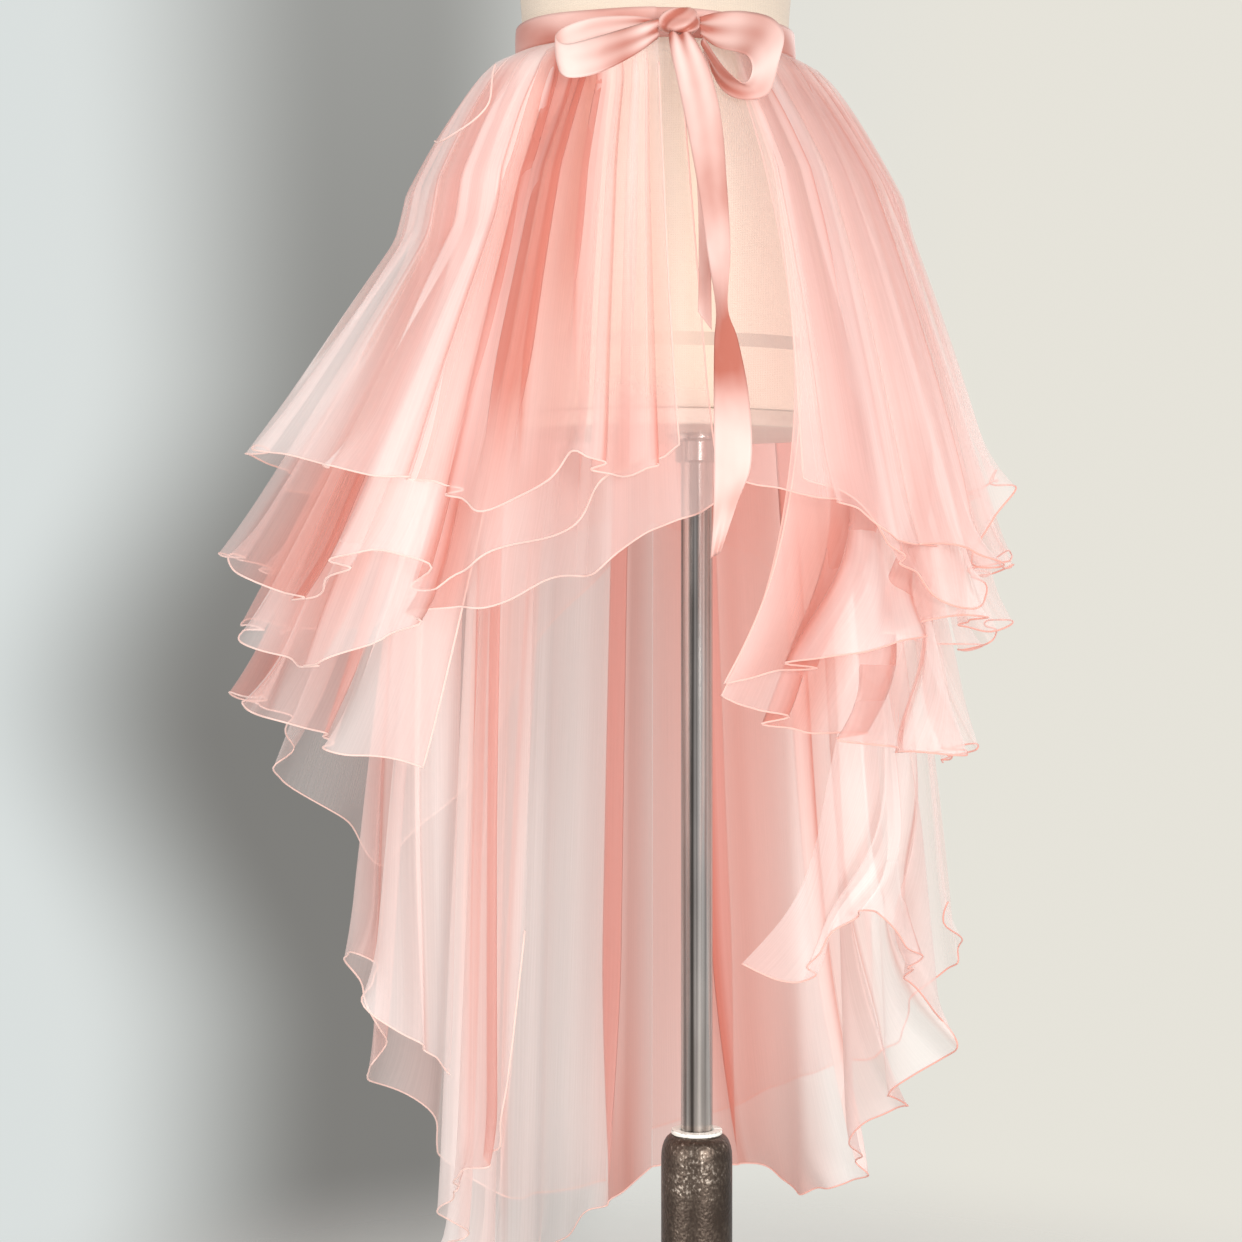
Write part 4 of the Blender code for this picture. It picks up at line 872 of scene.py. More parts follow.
def thread_share(panel, points, hem_turn, shade_paint, sheer_share):
    """How much of the view is thread at each point: more where the cloth is gathered or turned side on."""
    normal = unit(np.cross(np.gradient(points, axis=1), np.gradient(points, axis=0)))
    outward = unit((points - np.array([SKIRT_AXIS_X, 0.0, 0.0])) * (1.0, 1.0, 0.0))
    facing = np.clip(np.abs((normal * outward).sum(-1)), EDGE_ON, 1.0) ** 0.6
    row_length = np.linalg.norm(np.diff(points, axis=1), axis=-1).sum(axis=1)
    gathered = np.clip(panel.cut.width / row_length, 1.0, MOST_GATHERED)[:, None] ** 0.4
    layers = curve_through(panel.fullness, "layers", hem_turn)[None, :]
    low = eased(WAIST_HEIGHT - points[..., 2], *DOUBLED_DROP)
    low_front = low * (1 - eased(hem_turn, *DOUBLED_TURN))[None, :]
    layers = layers * (1 + FRONT_DOUBLED * low_front)
    # The painted fold shade also thickens the thread share.
    share = 1 - (1 - sheer_share) ** (layers * gathered * (0.8 + 0.4 * shade_paint) / facing)
    smooth = share.copy()
    smooth[:, 1:-1] = (share[:, :-2] + 2 * share[:, 1:-1] + share[:, 2:]) / 4
    return smooth


def grid_faces(rows, columns, closed=False, capped=False):
    """Four-sided faces between the rows of a grid whose points are listed row by row, with its two ends."""
    wide = columns if closed else columns + 1
    row, column = np.meshgrid(np.arange(rows), np.arange(columns), indexing="ij")
    right = (column + 1) % wide
    faces = np.stack([
        row * wide + column, (row + 1) * wide + column, (row + 1) * wide + right, row * wide + right,
    ], axis=-1).reshape(-1, 4).tolist()
    if capped:
        faces += [list(range(columns)), list(range((rows + 1) * columns - 1, rows * columns - 1, -1))]
    return faces


def flat_places(first, second):
    """Places on the cut cloth, from a measure along and a measure across."""
    return np.stack(np.broadcast_arrays(first, second), axis=-1)


def new_piece(name, points, faces, finish, places):
    """A mesh piece; places are its points on the cut cloth, in metres, for the pattern."""
    mesh = bpy.data.meshes.new(name)
    mesh.from_pydata(np.asarray(points, float).reshape(-1, 3).tolist(), [], faces)
    mesh.materials.append(finish)
    mesh.shade_smooth()
    corners = np.zeros(len(mesh.loops), np.int32)
    mesh.loops.foreach_get("vertex_index", corners)
    places = np.asarray(places, np.float32).reshape(-1, 2)
    mesh.uv_layers.new(name="UVMap").data.foreach_set("uv", places[corners].ravel())
    piece = bpy.data.objects.new(name, mesh)
    bpy.context.collection.objects.link(piece)
    return piece


def set_shares(piece, name, values):
    """One number at each point of a piece, for its finish to read."""
    values = np.clip(np.asarray(values, np.float32).ravel(), 0.0, 1.0)
    piece.data.attributes.new(name, "FLOAT", "POINT").data.foreach_set("value", values)


def tube_along(name, path, radius, finish, sides=6):
    """A thin closed tube along a path: a rolled hem."""
    apart = np.concatenate([[True], np.linalg.norm(np.diff(path, axis=0), axis=1) > 0.0006])
    path = path[apart]
    ahead = unit(np.gradient(path, axis=0))
    beside = np.cross(ahead, (0.0, 0.0, 1.0))
    weak = np.linalg.norm(beside, axis=1) < 0.2
    beside[weak] = np.cross(ahead[weak], (0.0, 1.0, 0.3))
    beside = unit(beside)
    for index in range(1, len(beside)):
        if beside[index] @ beside[index - 1] < 0:
            beside[index] = -beside[index]
    above = np.cross(beside, ahead)
    angles = np.linspace(0, math.tau, sides, endpoint=False)
    rings = [path + radius * (np.cos(angle) * beside + np.sin(angle) * above) for angle in angles]
    points = np.stack(rings, axis=1)
    faces = grid_faces(len(path) - 1, sides, closed=True, capped=True)
    places = flat_places(run_lengths(path)[:, None], angles[None, :] * radius)
    piece = new_piece(name, points, faces, finish, places)
    settle_normals(piece)
    return piece


def edit_all():
    """Opens the active piece for editing with all of it selected."""
    bpy.ops.object.mode_set(mode="EDIT")
    bpy.ops.mesh.select_all(action="SELECT")


def close_outwards():
    """Turns every face of the piece being edited outwards, and closes it."""
    bpy.ops.mesh.select_all(action="SELECT")
    bpy.ops.mesh.normals_make_consistent(inside=False)
    bpy.ops.object.mode_set(mode="OBJECT")


def select_only(piece):
    bpy.ops.object.select_all(action="DESELECT")
    piece.select_set(True)
    bpy.context.view_layer.objects.active = piece


def settle_normals(piece):
    select_only(piece)
    edit_all()
    close_outwards()


def apply_modifiers(piece):
    select_only(piece)
    for modifier in list(piece.modifiers):
        bpy.ops.object.modifier_apply(modifier=modifier.name)


def give_wall(piece, thickness):
    wall = piece.modifiers.new("Wall", "SOLIDIFY")
    wall.thickness = thickness
    wall.offset = 0.0
    wall.use_even_offset = True
    apply_modifiers(piece)


def soften_edges(piece, width, segments=3, smooth_angle=40):
    bevel = piece.modifiers.new("Softened edges", "BEVEL")
    bevel.width = width
    bevel.segments = segments
    bevel.limit_method = "ANGLE"
    bevel.angle_limit = math.radians(28)
    apply_modifiers(piece)
    bpy.ops.object.shade_smooth_by_angle(angle=math.radians(smooth_angle))


def stand_for(piece, node_name):
    """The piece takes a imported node's place."""
    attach(piece, "root")
    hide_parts(node_name)


def dress_panel(panel, sizes, organza, rolled):
    """One organza panel with its rolled hem."""
    hem_turn = hem_turns(panel)
    points, down = hung_grid(panel, hem_turn, sizes)
    across = (hem_turn - hem_turn[0]) / (hem_turn[-1] - hem_turn[0]) * panel.cut.width
    faces = grid_faces(points.shape[0] - 1, points.shape[1] - 1)
    places = flat_places(across[None, :], run_lengths(points))
    piece = new_piece(panel.name + "_organza", points, faces, organza, places)
    shade_paint = fold_hollow(panel, points, hem_turn, down)
    set_shares(piece, "thread_share", thread_share(panel, points, hem_turn, shade_paint, sizes.sheer_share))
    set_shares(piece, "fold_hollow", shade_paint)
    if panel.tier in TRAIN_TIERS:
        edges = [points[-1]]
    else:
        edges = [points[FIRST_EDGE_ROW:, 0], points[-1, 1:]]
    trims = [tube_along(panel.name + "_hem", np.concatenate(edges), sizes.hem_radius, rolled)]
    if panel.name == "overlay_left":
        trims.append(tube_along("overlay_left_swag", swag_path(panel), sizes.hem_radius, rolled))
    for part in [piece, *trims]:
        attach(part, "root")
    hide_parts(panel.name)


def ribbon_grid(run, steps, across):
    """A ribbon's points between its two edges, rounded across and rippled towards its ends."""
    rows = run.edges
    stations = np.linspace(0, len(rows) - 1, (len(rows) - 1) * steps + 1)
    placed = [Station(index, *row) for index, row in enumerate(rows)]
    first, second = (
        np.stack([curve_through(placed, axis, stations) for axis in axes], axis=-1)
        for axes in (Ribbon._fields[:3], Ribbon._fields[3:]))
    share = np.linspace(0.0, 1.0, across + 1)[None, :, None]
    points = first[:, None, :] * (1 - share) + second[:, None, :] * share
    normal = unit(np.cross(np.gradient((first + second) / 2, axis=0), second - first))
    share = share[..., 0]
    place = stations[:, None] / (len(rows) - 1)
    rise = run.camber * (1 - (2 * share - 1) ** 2)
    rise = rise + run.ripple * np.sin(3 * math.pi * share) * np.exp(-place / 0.10)
    rise = rise + run.ripple * np.sin(2 * math.pi * share + 1.0) * np.exp(-(1 - place) / 0.12)
    return points + rise[..., None] * normal[:, None, :]


def node(tree, kind, inputs=None, **settings):
    """One shader node; an input is a value or another node's output."""
    made = tree.nodes.new("ShaderNode" + kind)
    for name, value in settings.items():
        setattr(made, name, value)
    for name, value in (inputs or {}).items():
        if isinstance(value, bpy.types.NodeSocket):
            tree.links.new(value, made.inputs[name])
        else:
            made.inputs[name].default_value = value
    return made


def maths(tree, operation, first, second=0.5, clamp=False):
    return node(tree, "Math", {0: first, 1: second}, operation=operation, use_clamp=clamp).outputs[0]


def spread(tree, source, low, high, start=0.0, end=1.0, smooth=False):
    """A pattern's run from start to end, spread between two numbers."""
    made = node(tree, "MapRange", {
        "Value": source, "From Min": start, "From Max": end, "To Min": low, "To Max": high,
    }, interpolation_type="SMOOTHSTEP" if smooth else "LINEAR")
    return made.outputs["Result"]


def ramp(tree, source, *stops):
    """A colour ramp through (place, colour) stops."""
    made = node(tree, "ValToRGB", {"Fac": source})
    elements = made.color_ramp.elements
    while len(elements) < len(stops):
        elements.new(0.5)
    for element, (place, colour) in zip(elements, stops):
        element.position = place
        element.color = (*colour[:3], 1.0)
    return made.outputs["Color"]


def blended(tree, share, first, second):
    """Two colours mixed by a share."""
    return node(tree, "Mix", {0: share, 6: first, 7: second}, data_type="RGBA").outputs[2]


def noise(tree, place, scale, detail=2.0, stretch=(1.0, 1.0, 1.0)):
    mapped = node(tree, "Mapping", {"Vector": place, "Scale": stretch}).outputs["Vector"]
    return node(tree, "TexNoise", {"Vector": mapped, "Scale": scale, "Detail": detail}).outputs["Fac"]


def ribs(tree, place, scale, uneven, direction, detail=2.0):
    made = node(tree, "TexWave", {
        "Vector": place, "Scale": scale, "Distortion": uneven, "Detail": detail,
    }, bands_direction=direction)
    return made.outputs["Fac"]


def along_axis(tree, place, axis):
    return node(tree, "SeparateXYZ", {0: place}).outputs[axis]


def point_share(tree, name):
    return node(tree, "Attribute", attribute_name=name).outputs["Fac"]


def object_place(tree):
    return node(tree, "TexCoord").outputs["Object"]


def cloth_place(tree):
    return node(tree, "UVMap", uv_map="UVMap").outputs["UV"]


def coat(tree, colour, roughness, bumps=None, more=None):
    """A surface with a colour, a roughness, and bumps given as height, strength and depth."""
    inputs = {"Base Color": colour, "Roughness": roughness, **(more or {})}
    if bumps:
        height, strength, depth = bumps
        made = node(tree, "Bump", {"Height": height, "Strength": strength, "Distance": depth})
        inputs["Normal"] = made.outputs["Normal"]
    return node(tree, "BsdfPrincipled", inputs)


def mixed(tree, share, first, second):
    return node(tree, "MixShader", {"Fac": share, 1: first.outputs[0], 2: second.outputs[0]})


def finish(name, surface, *choices):
    """A material whose surface is made by one of the functions below."""
    made = bpy.data.materials.new(name)
    made.use_nodes = True
    tree = made.node_tree
    tree.nodes.clear()
    output = node(tree, "OutputMaterial")
    tree.links.new(surface(tree, *choices).outputs[0], output.inputs["Surface"])
    return made


def organza(tree, fabric):
    """Sheer silk-like organza: fine lengthways threads, see-through between them, with a soft sheen; its
    colour and the glow through it run from painted light on fold crests to painted shade in the troughs.
    """
    threads = noise(tree, cloth_place(tree), 1.0, 0.0, (900.0, 9.0, 1.0))
    shade_paint = point_share(tree, "fold_hollow")
    streak = spread(tree, threads, -0.014, 0.014, 0.3, 0.7)
    opacity = maths(tree, "ADD", point_share(tree, "thread_share"), streak, clamp=True)
    front = coat(tree, blended(tree, shade_paint, fabric.pale_organza, fabric.deep_organza), 0.42, more={
        "Specular IOR Level": 0.5, "Sheen Weight": 0.45, "Sheen Roughness": 0.35,
    })
    glow = blended(tree, shade_paint, fabric.pale_glow, fabric.deep_glow)
    body = mixed(tree, 0.38, front, node(tree, "BsdfTranslucent", {"Color": glow}))
    clear = node(tree, "BsdfTransparent", {"Color": (1.0, 1.0, 1.0, 1.0)})
    return mixed(tree, opacity, clear, body)


def rolled_hem(tree, fabric):
    """The tightly rolled hem: the same thread, close and nearly solid, with its stitches."""
    stitches = ribs(tree, cloth_place(tree), 160.0, 0.6, "X")
    # The hem is paler at the left and deeper at the right of the skirt: painted light and painted shade.
    side = spread(tree, along_axis(tree, object_place(tree), "X"), 0.0, 1.0, -0.15, 0.22)
    colour = blended(tree, side, fabric.hem_pale, fabric.hem_deep)
    roughness = spread(tree, stitches, 0.45, 0.6)
    front = coat(tree, colour, roughness, (stitches, 0.3, 0.0004), {"Sheen Weight": 0.3})
    return mixed(tree, 0.35, front, node(tree, "BsdfTranslucent", {"Color": fabric.hem_pale}))


def satin_ribbon(tree, fabric):
    """Satin ribbon: smooth lengthways floats with a soft gloss; its colour carries painted highlights and
    painted shade, with random clouds.
    """
    place = cloth_place(tree)
    floats = noise(tree, place, 1.0, 2.0, (2200.0, 60.0, 1.0))
    clouds = spread(tree, noise(tree, place, 40.0, 2.0, (1.0, 0.5, 1.0)), -0.22, 0.22)
    # The ribbon's painted highlights and shade, with random clouds.
    depth = maths(tree, "ADD", point_share(tree, "satin_tone"), clouds, clamp=True)
    colour = blended(tree, depth, fabric.satin_pale, fabric.satin_deep)
    return coat(tree, colour, spread(tree, floats, 0.34, 0.46), (floats, 0.12, 0.0003), {
        "Specular IOR Level": 0.30, "Sheen Weight": 0.05, "Sheen Roughness": 0.35,
    })


def linen(tree, fabric):
    """The form's stretched linen: plain weave with slubs, and painted light towards +X lower down, where
    the skirt shades it.
    """
    place = object_place(tree)
    warp, weft = (ribs(tree, place, 210.0, 1.2, direction, 1.0) for direction in "XZ")
    slubs = noise(tree, place, 1.0, 2.0, (60.0, 60.0, 700.0))
    yellowed = blended(tree, noise(tree, place, 14.0, 3.0), fabric.linen_pale, fabric.linen_deep)
    beside = spread(tree, along_axis(tree, place, "X"), 0.0, 1.0, *PAINTED_LIGHT_LINEN_X)
    below = spread(tree, along_axis(tree, place, "Z"), 0.0, 1.0, *PAINTED_LIGHT_LINEN_HEIGHT)
    # Painted light over the shade the skirt casts on the form.
    colour = blended(tree, maths(tree, "MULTIPLY", beside, below), yellowed, fabric.linen_fresh)
    colour = blended(tree, spread(tree, slubs, 0.0, 0.35), colour, fabric.linen_slub)
    weave = maths(tree, "MULTIPLY", warp, weft)
    return coat(tree, colour, 0.86, (weave, 0.35, 0.0006), {"Sheen Weight": 0.15})


def cotton_tape(tree, fabric):
    """The herringbone tape stitched round the form's hips."""
    place = object_place(tree)
    colour = blended(tree, noise(tree, place, 30.0), fabric.tape, fabric.linen_pale)
    return coat(tree, colour, 0.8, (ribs(tree, place, 320.0, 0.8, "DIAGONAL"), 0.3, 0.0004))


def brushed_steel(tree):
    """Brushed steel tube with small scuffs, its colour streaked dark and bright lengthways: tarnish and
    painted reflection.
    """
    place = object_place(tree)
    brushed = noise(tree, place, 1.0, 3.0, (900.0, 900.0, 5.0))
    tarnish_and_painted_reflection = noise(tree, place, 1.0, 2.0, (150.0, 150.0, 0.9))
    scuffs = noise(tree, place, 26.0, 4.0, (1.0, 1.0, 0.35))
    streaked = maths(tree, "ADD", tarnish_and_painted_reflection, spread(tree, scuffs, -0.07, 0.07))
    # Dark and bright lengthways streaks in the colour: painted reflection, also tarnish.
    tone = ramp(
        tree, streaked,
        (0.34, (0.09, 0.078, 0.072)), (0.47, (0.33, 0.30, 0.285)), (0.66, (0.74, 0.69, 0.66)))
    return coat(tree, tone, spread(tree, brushed, 0.18, 0.30), (brushed, 0.04, 0.0003), {"Metallic": 1.0})


def hammered_bronze(tree):
    """Hammered brown enamel over metal, rubbed bright in patches."""
    place = object_place(tree)
    cells = node(tree, "TexVoronoi", {"Vector": place, "Scale": 420.0}, feature="SMOOTH_F1")
    dents = (cells.outputs["Distance"], 0.45, 0.0008)
    patches = noise(tree, place, 22.0, 3.0)
    worn = maths(tree, "MULTIPLY", patches, noise(tree, place, 1.0, 8.0, (420.0, 420.0, 300.0)))
    tone = ramp(
        tree, worn,
        (0.20, (0.060, 0.042, 0.032)), (0.34, (0.105, 0.078, 0.060)), (0.43, (0.38, 0.32, 0.27)))
    return coat(tree, tone, spread(tree, patches, 0.26, 0.46), dents, {"Metallic": 0.75})


def ivory_plastic(tree):
    """The collar's ivory plastic, a little chipped and yellowed."""
    stains = noise(tree, object_place(tree), 160.0, 4.0)
    tone = ramp(
        tree, stains, (0.35, (0.80, 0.77, 0.70)), (0.60, (0.88, 0.86, 0.80)), (0.78, (0.55, 0.49, 0.42)))
    return coat(tree, tone, spread(tree, stains, 0.35, 0.55), (stains, 0.1, 0.0004))


def cream_board_in_painted_shade(tree):
    """The form's end board and neck cap: cream paint darkened to painted shade, over a straight grain."""
    grain = noise(tree, object_place(tree), 1.0, 4.0, (9.0, 130.0, 130.0))
    # Cream darkened as painted shade.
    tone = ramp(
        tree, grain, (0.30, (0.56, 0.46, 0.38)), (0.55, (0.62, 0.52, 0.43)), (0.75, (0.66, 0.56, 0.47)))
    return coat(tree, tone, spread(tree, grain, 0.34, 0.5), (grain, 0.12, 0.0005))


def pale_floor(tree, stage):
    """The floor's paint, which fades into the room round it."""
    place = object_place(tree)
    distance = node(tree, "VectorMath", {0: place}, operation="LENGTH").outputs["Value"]
    fade = spread(tree, distance, 1.0, 0.0, *FLOOR_FADE, smooth=True)
    colour = blended(tree, noise(tree, place, 7.0, 3.0), stage.floor_pale, stage.floor_shade)
    return coat(tree, colour, 0.7, more={"Alpha": fade})


def loft_by_hand(name, sections, made_of, count=64, facing=FORM_TURN):
    """A closed piece raised section by section from a circle, then turned to its facing, in degrees."""
    way_back = Matrix.Rotation(-math.radians(facing), 3, "Z")
    centres = [way_back @ Vector((each.shift_x, each.shift_y, each.height)) for each in sections]
    bpy.ops.object.select_all(action="DESELECT")
    bpy.ops.mesh.primitive_circle_add(vertices=count, radius=1.0, fill_type="NGON", location=(0, 0, 0))
    piece = bpy.context.active_object
    piece.name = piece.data.name = name
    edit_all()
    first = sections[0]
    bpy.ops.transform.resize(value=(first.half_width, first.half_depth, 1), center_override=(0, 0, 0))
    bpy.ops.transform.translate(value=centres[0])
    for index, (below, section) in enumerate(zip(sections, sections[1:]), 1):
        step = centres[index] - centres[index - 1]
        bpy.ops.mesh.extrude_region_move(TRANSFORM_OT_translate={"value": step})
        wider = (section.half_width / below.half_width, section.half_depth / below.half_depth, 1)
        bpy.ops.transform.resize(value=wider, center_override=centres[index])
    close_outwards()
    piece.rotation_euler.z = math.radians(facing)
    bpy.ops.object.transform_apply(location=True, rotation=True, scale=True)
    piece.data.materials.append(made_of)
    return piece


def turn_by_hand(name, outline, made_of, count):
    """A closed round piece on the pole's axis, through its (radius, height) outline."""
    sections = [Section(height, radius, radius, 0.0, 0.0) for radius, height in outline]
    return loft_by_hand(name, sections, made_of, count, facing=0.0)


class SKIRT_OT_tiers(bpy.types.Operator):
    """Hang the twelve organza panels, each with its pleats and rolled hem"""

    bl_idname = "skirt.tiers"
    bl_label = "Organza tiers"

    def execute(self, context):
        fabric = context.scene.skirt_fabric
        sheer = finish("organza_sheer", organza, fabric)
        rolled = finish("organza_rolled_hem", rolled_hem, fabric)
        for panel in PANELS:
            dress_panel(panel, context.scene.skirt_sizes, sheer, rolled)
        return {"FINISHED"}


class SKIRT_OT_bow(bpy.types.Operator):
    """Wrap the satin ribbon round the waist and tie its bow"""

    bl_idname = "skirt.bow"
    bl_label = "Ribbon and bow"

    def execute(self, context):
        satin = finish("satin_ribbon", satin_ribbon, context.scene.skirt_fabric)
        sizes = context.scene.skirt_sizes
        self.wrap_waist(satin, sizes)
        self.tie_knot(satin)
        for run in RUNS:
            self.lay_run(run, satin, sizes)
        return {"FINISHED"}

    def lay_run(self, run, satin, sizes):
        """One run of ribbon between its two edges."""
        steps, across = 12, 14
        points = ribbon_grid(run, steps, across)
        share = np.linspace(0, 1, across + 1)[None, :]
        places = flat_places(share * RIBBON_WIDTH, run_lengths(points[:, across // 2])[:, None])
        piece = new_piece(run.name + "_satin", points, grid_faces(len(points) - 1, across), satin, places)
        place = np.linspace(0.0, 1.0, len(points))[:, None]
        # Painted shade in the creases near the knot, and across the ribbon, deeper towards one edge.
        near_end = np.exp(-np.minimum(place, (1 - place) + run.far) / CREASE_REACH)
        crease = PAINTED_CREASE_SHADE * np.sin(4 * math.pi * share + 5 * place + 0.8) * near_end
        tone = curve_through(run.tones, "depth", place)
        set_shares(piece, "satin_tone", tone + crease + 0.12 * (share - 0.5))
        give_wall(piece, sizes.ribbon_thickness)
        piece.data.shade_smooth()
        stand_for(piece, run.name)

    def wrap_waist(self, satin, sizes):
        """The band, a little wrinkled, with a soft crown between its edges."""
        count, across = 200, 8
        grow = BAND_THICKNESS / 2 + TIER_PITCH * 3
        turns = np.linspace(0, 360, count, endpoint=False)
        rows = np.linspace(1, -1, across + 1)[:, None]
        reach = oval_reach(turns, WAIST_HALF_WIDTH + grow, WAIST_HALF_DEPTH + grow)
        wrinkle = BAND_WRINKLE * np.sin(turns / 7.0 + 2.0 * rows) * np.sin(turns / 23.0 + 0.5)
        reach = reach + BAND_CROWN * (1 - rows**2) + wrinkle
        height = WAIST_HEIGHT + BAND_HEIGHT / 2 * rows + BAND_CROWN * np.sin(turns / 11.0)
        points = round_axis(turns, reach, height)
        places = flat_places(np.linspace(0, BAND_HEIGHT, across + 1)[:, None], turns / 360 * BAND_LENGTH)
        piece = new_piece("waistband_satin", points, grid_faces(across, count, closed=True), satin, places)
        # Painted shade on the band, with painted light towards its top edge and soft waves along it.
        set_shares(piece, "satin_tone", 0.66 + 0.12 * np.sin(turns / 9.0 + 2.0 * rows) - 0.16 * rows)
        give_wall(piece, sizes.band_thickness)
        stand_for(piece, "waistband")

    def tie_knot(self, satin):
        """The knot: ribbon pulled over itself, with folds that run slantwise round it."""
        rings, count = 28, 56
        ring, index = np.arange(rings)[:, None], np.arange(count)[None, :]
        lift = np.radians(-78 + 156 * ring / (rings - 1))
        angle = math.tau * index / count
        first = np.sin(4 * angle + 3.0 * lift)
        second = np.sin(7 * angle + 5.6 * lift + 0.9)
        fold = (1 + KNOT_FOLDS[0] * first + KNOT_FOLDS[1] * second) * np.cos(lift) ** 0.5
        wide, deep = (np.sign(swing) * np.abs(swing) ** 0.8 for swing in (np.cos(angle), np.sin(angle)))
        below = KNOT_TALL * np.sin(lift) * (1 + 0.10 * np.cos(angle))
        points = np.array(KNOT_CENTRE) + np.stack(np.broadcast_arrays(
            KNOT_WIDE * wide * fold, KNOT_DEEP * deep * fold - KNOT_LEAN * np.maximum(0.0, below), -below,
        ), axis=-1)
        faces = grid_faces(rings - 1, count, closed=True, capped=True)
        places = flat_places(0.02 * ring / rings, 0.06 * index / count)
        piece = new_piece("bow_knot_satin", points, faces, satin, places)
        # Painted shade in the knot's folds and painted light on their crests.
        set_shares(piece, "satin_tone", KNOT_PAINTED_SHADE[0] - KNOT_PAINTED_SHADE[1] * first - KNOT_PAINTED_SHADE[2] * second)
        settle_normals(piece)
        stand_for(piece, "bow_knot")


class SKIRT_OT_form(bpy.types.Operator):
    """Build the limbless dress form with its tape, board and cap"""

    bl_idname = "skirt.form"
    bl_label = "Dress form"

    def execute(self, context):
        self.raise_torso(context.scene.skirt_fabric, context.scene.skirt_sizes.tape_thickness)
        cream = finish("cream_painted_board", cream_board_in_painted_shade)
        first, last = FORM_SECTIONS[0], FORM_SECTIONS[-1]
        top = FORM_BOTTOM_HEIGHT - SEAM_GAP
        low = first._replace(height=top - PLATE_THICKNESS)
        self.close_end("form_bottom_board", (low, low._replace(height=top)), cream, 0.0016)
        low = Section(last.height + SEAM_GAP, 0.060, 0.056, last.shift_x, last.shift_y)
        brow = low._replace(height=low.height + 0.010)
        crown = low._replace(height=low.height + 0.016, half_width=0.050, half_depth=0.046)
        self.close_end("form_neck_cap", (low, brow, crown), cream, 0.0025)
        return {"FINISHED"}

    def raise_torso(self, fabric, tape_thickness):
        """The linen torso with its tape, raised level by level."""
        heights = sorted({section.height for section in FORM_SECTIONS} | set(EXTRA_FORM_LEVELS))
        levels = [form_section(height) for height in heights if not TAPE_BOTTOM < height < TAPE_TOP]
        levels += [form_section(TAPE_BOTTOM - TAPE_EDGE), form_section(TAPE_TOP + TAPE_EDGE)]
        tape_heights = (TAPE_BOTTOM, (TAPE_BOTTOM + TAPE_TOP) / 2, TAPE_TOP)
        levels += [form_section(height, tape_thickness) for height in tape_heights]
        levels.append(form_section(FORM_SECTIONS[0].height, -0.002))
        levels.sort(key=lambda section: (section.height, section.half_width))
        levels.append(form_section(FORM_SECTIONS[-1].height, -0.005))
        torso = loft_by_hand("form_torso_linen", levels, finish("linen_cover", linen, fabric), count=72)
        torso.data.materials.append(finish("cotton_tape", cotton_tape, fabric))
        low, high = TAPE_BOTTOM - TAPE_EDGE / 2, TAPE_TOP + TAPE_EDGE / 2
        for face in torso.data.polygons:
            if low <= face.center.z <= high and abs(face.normal.z) < 0.9:
                face.material_index = 1
        rounding = torso.modifiers.new("Rounding", "SUBSURF")
        rounding.levels = rounding.render_levels = 1
        apply_modifiers(torso)
        bpy.ops.object.shade_smooth_by_angle(angle=math.radians(45))
        stand_for(torso, "form_torso")

    def close_end(self, name, sections, cream, softening):
        piece = loft_by_hand(name + "_cream", sections, cream)
        soften_edges(piece, softening)
        stand_for(piece, name)


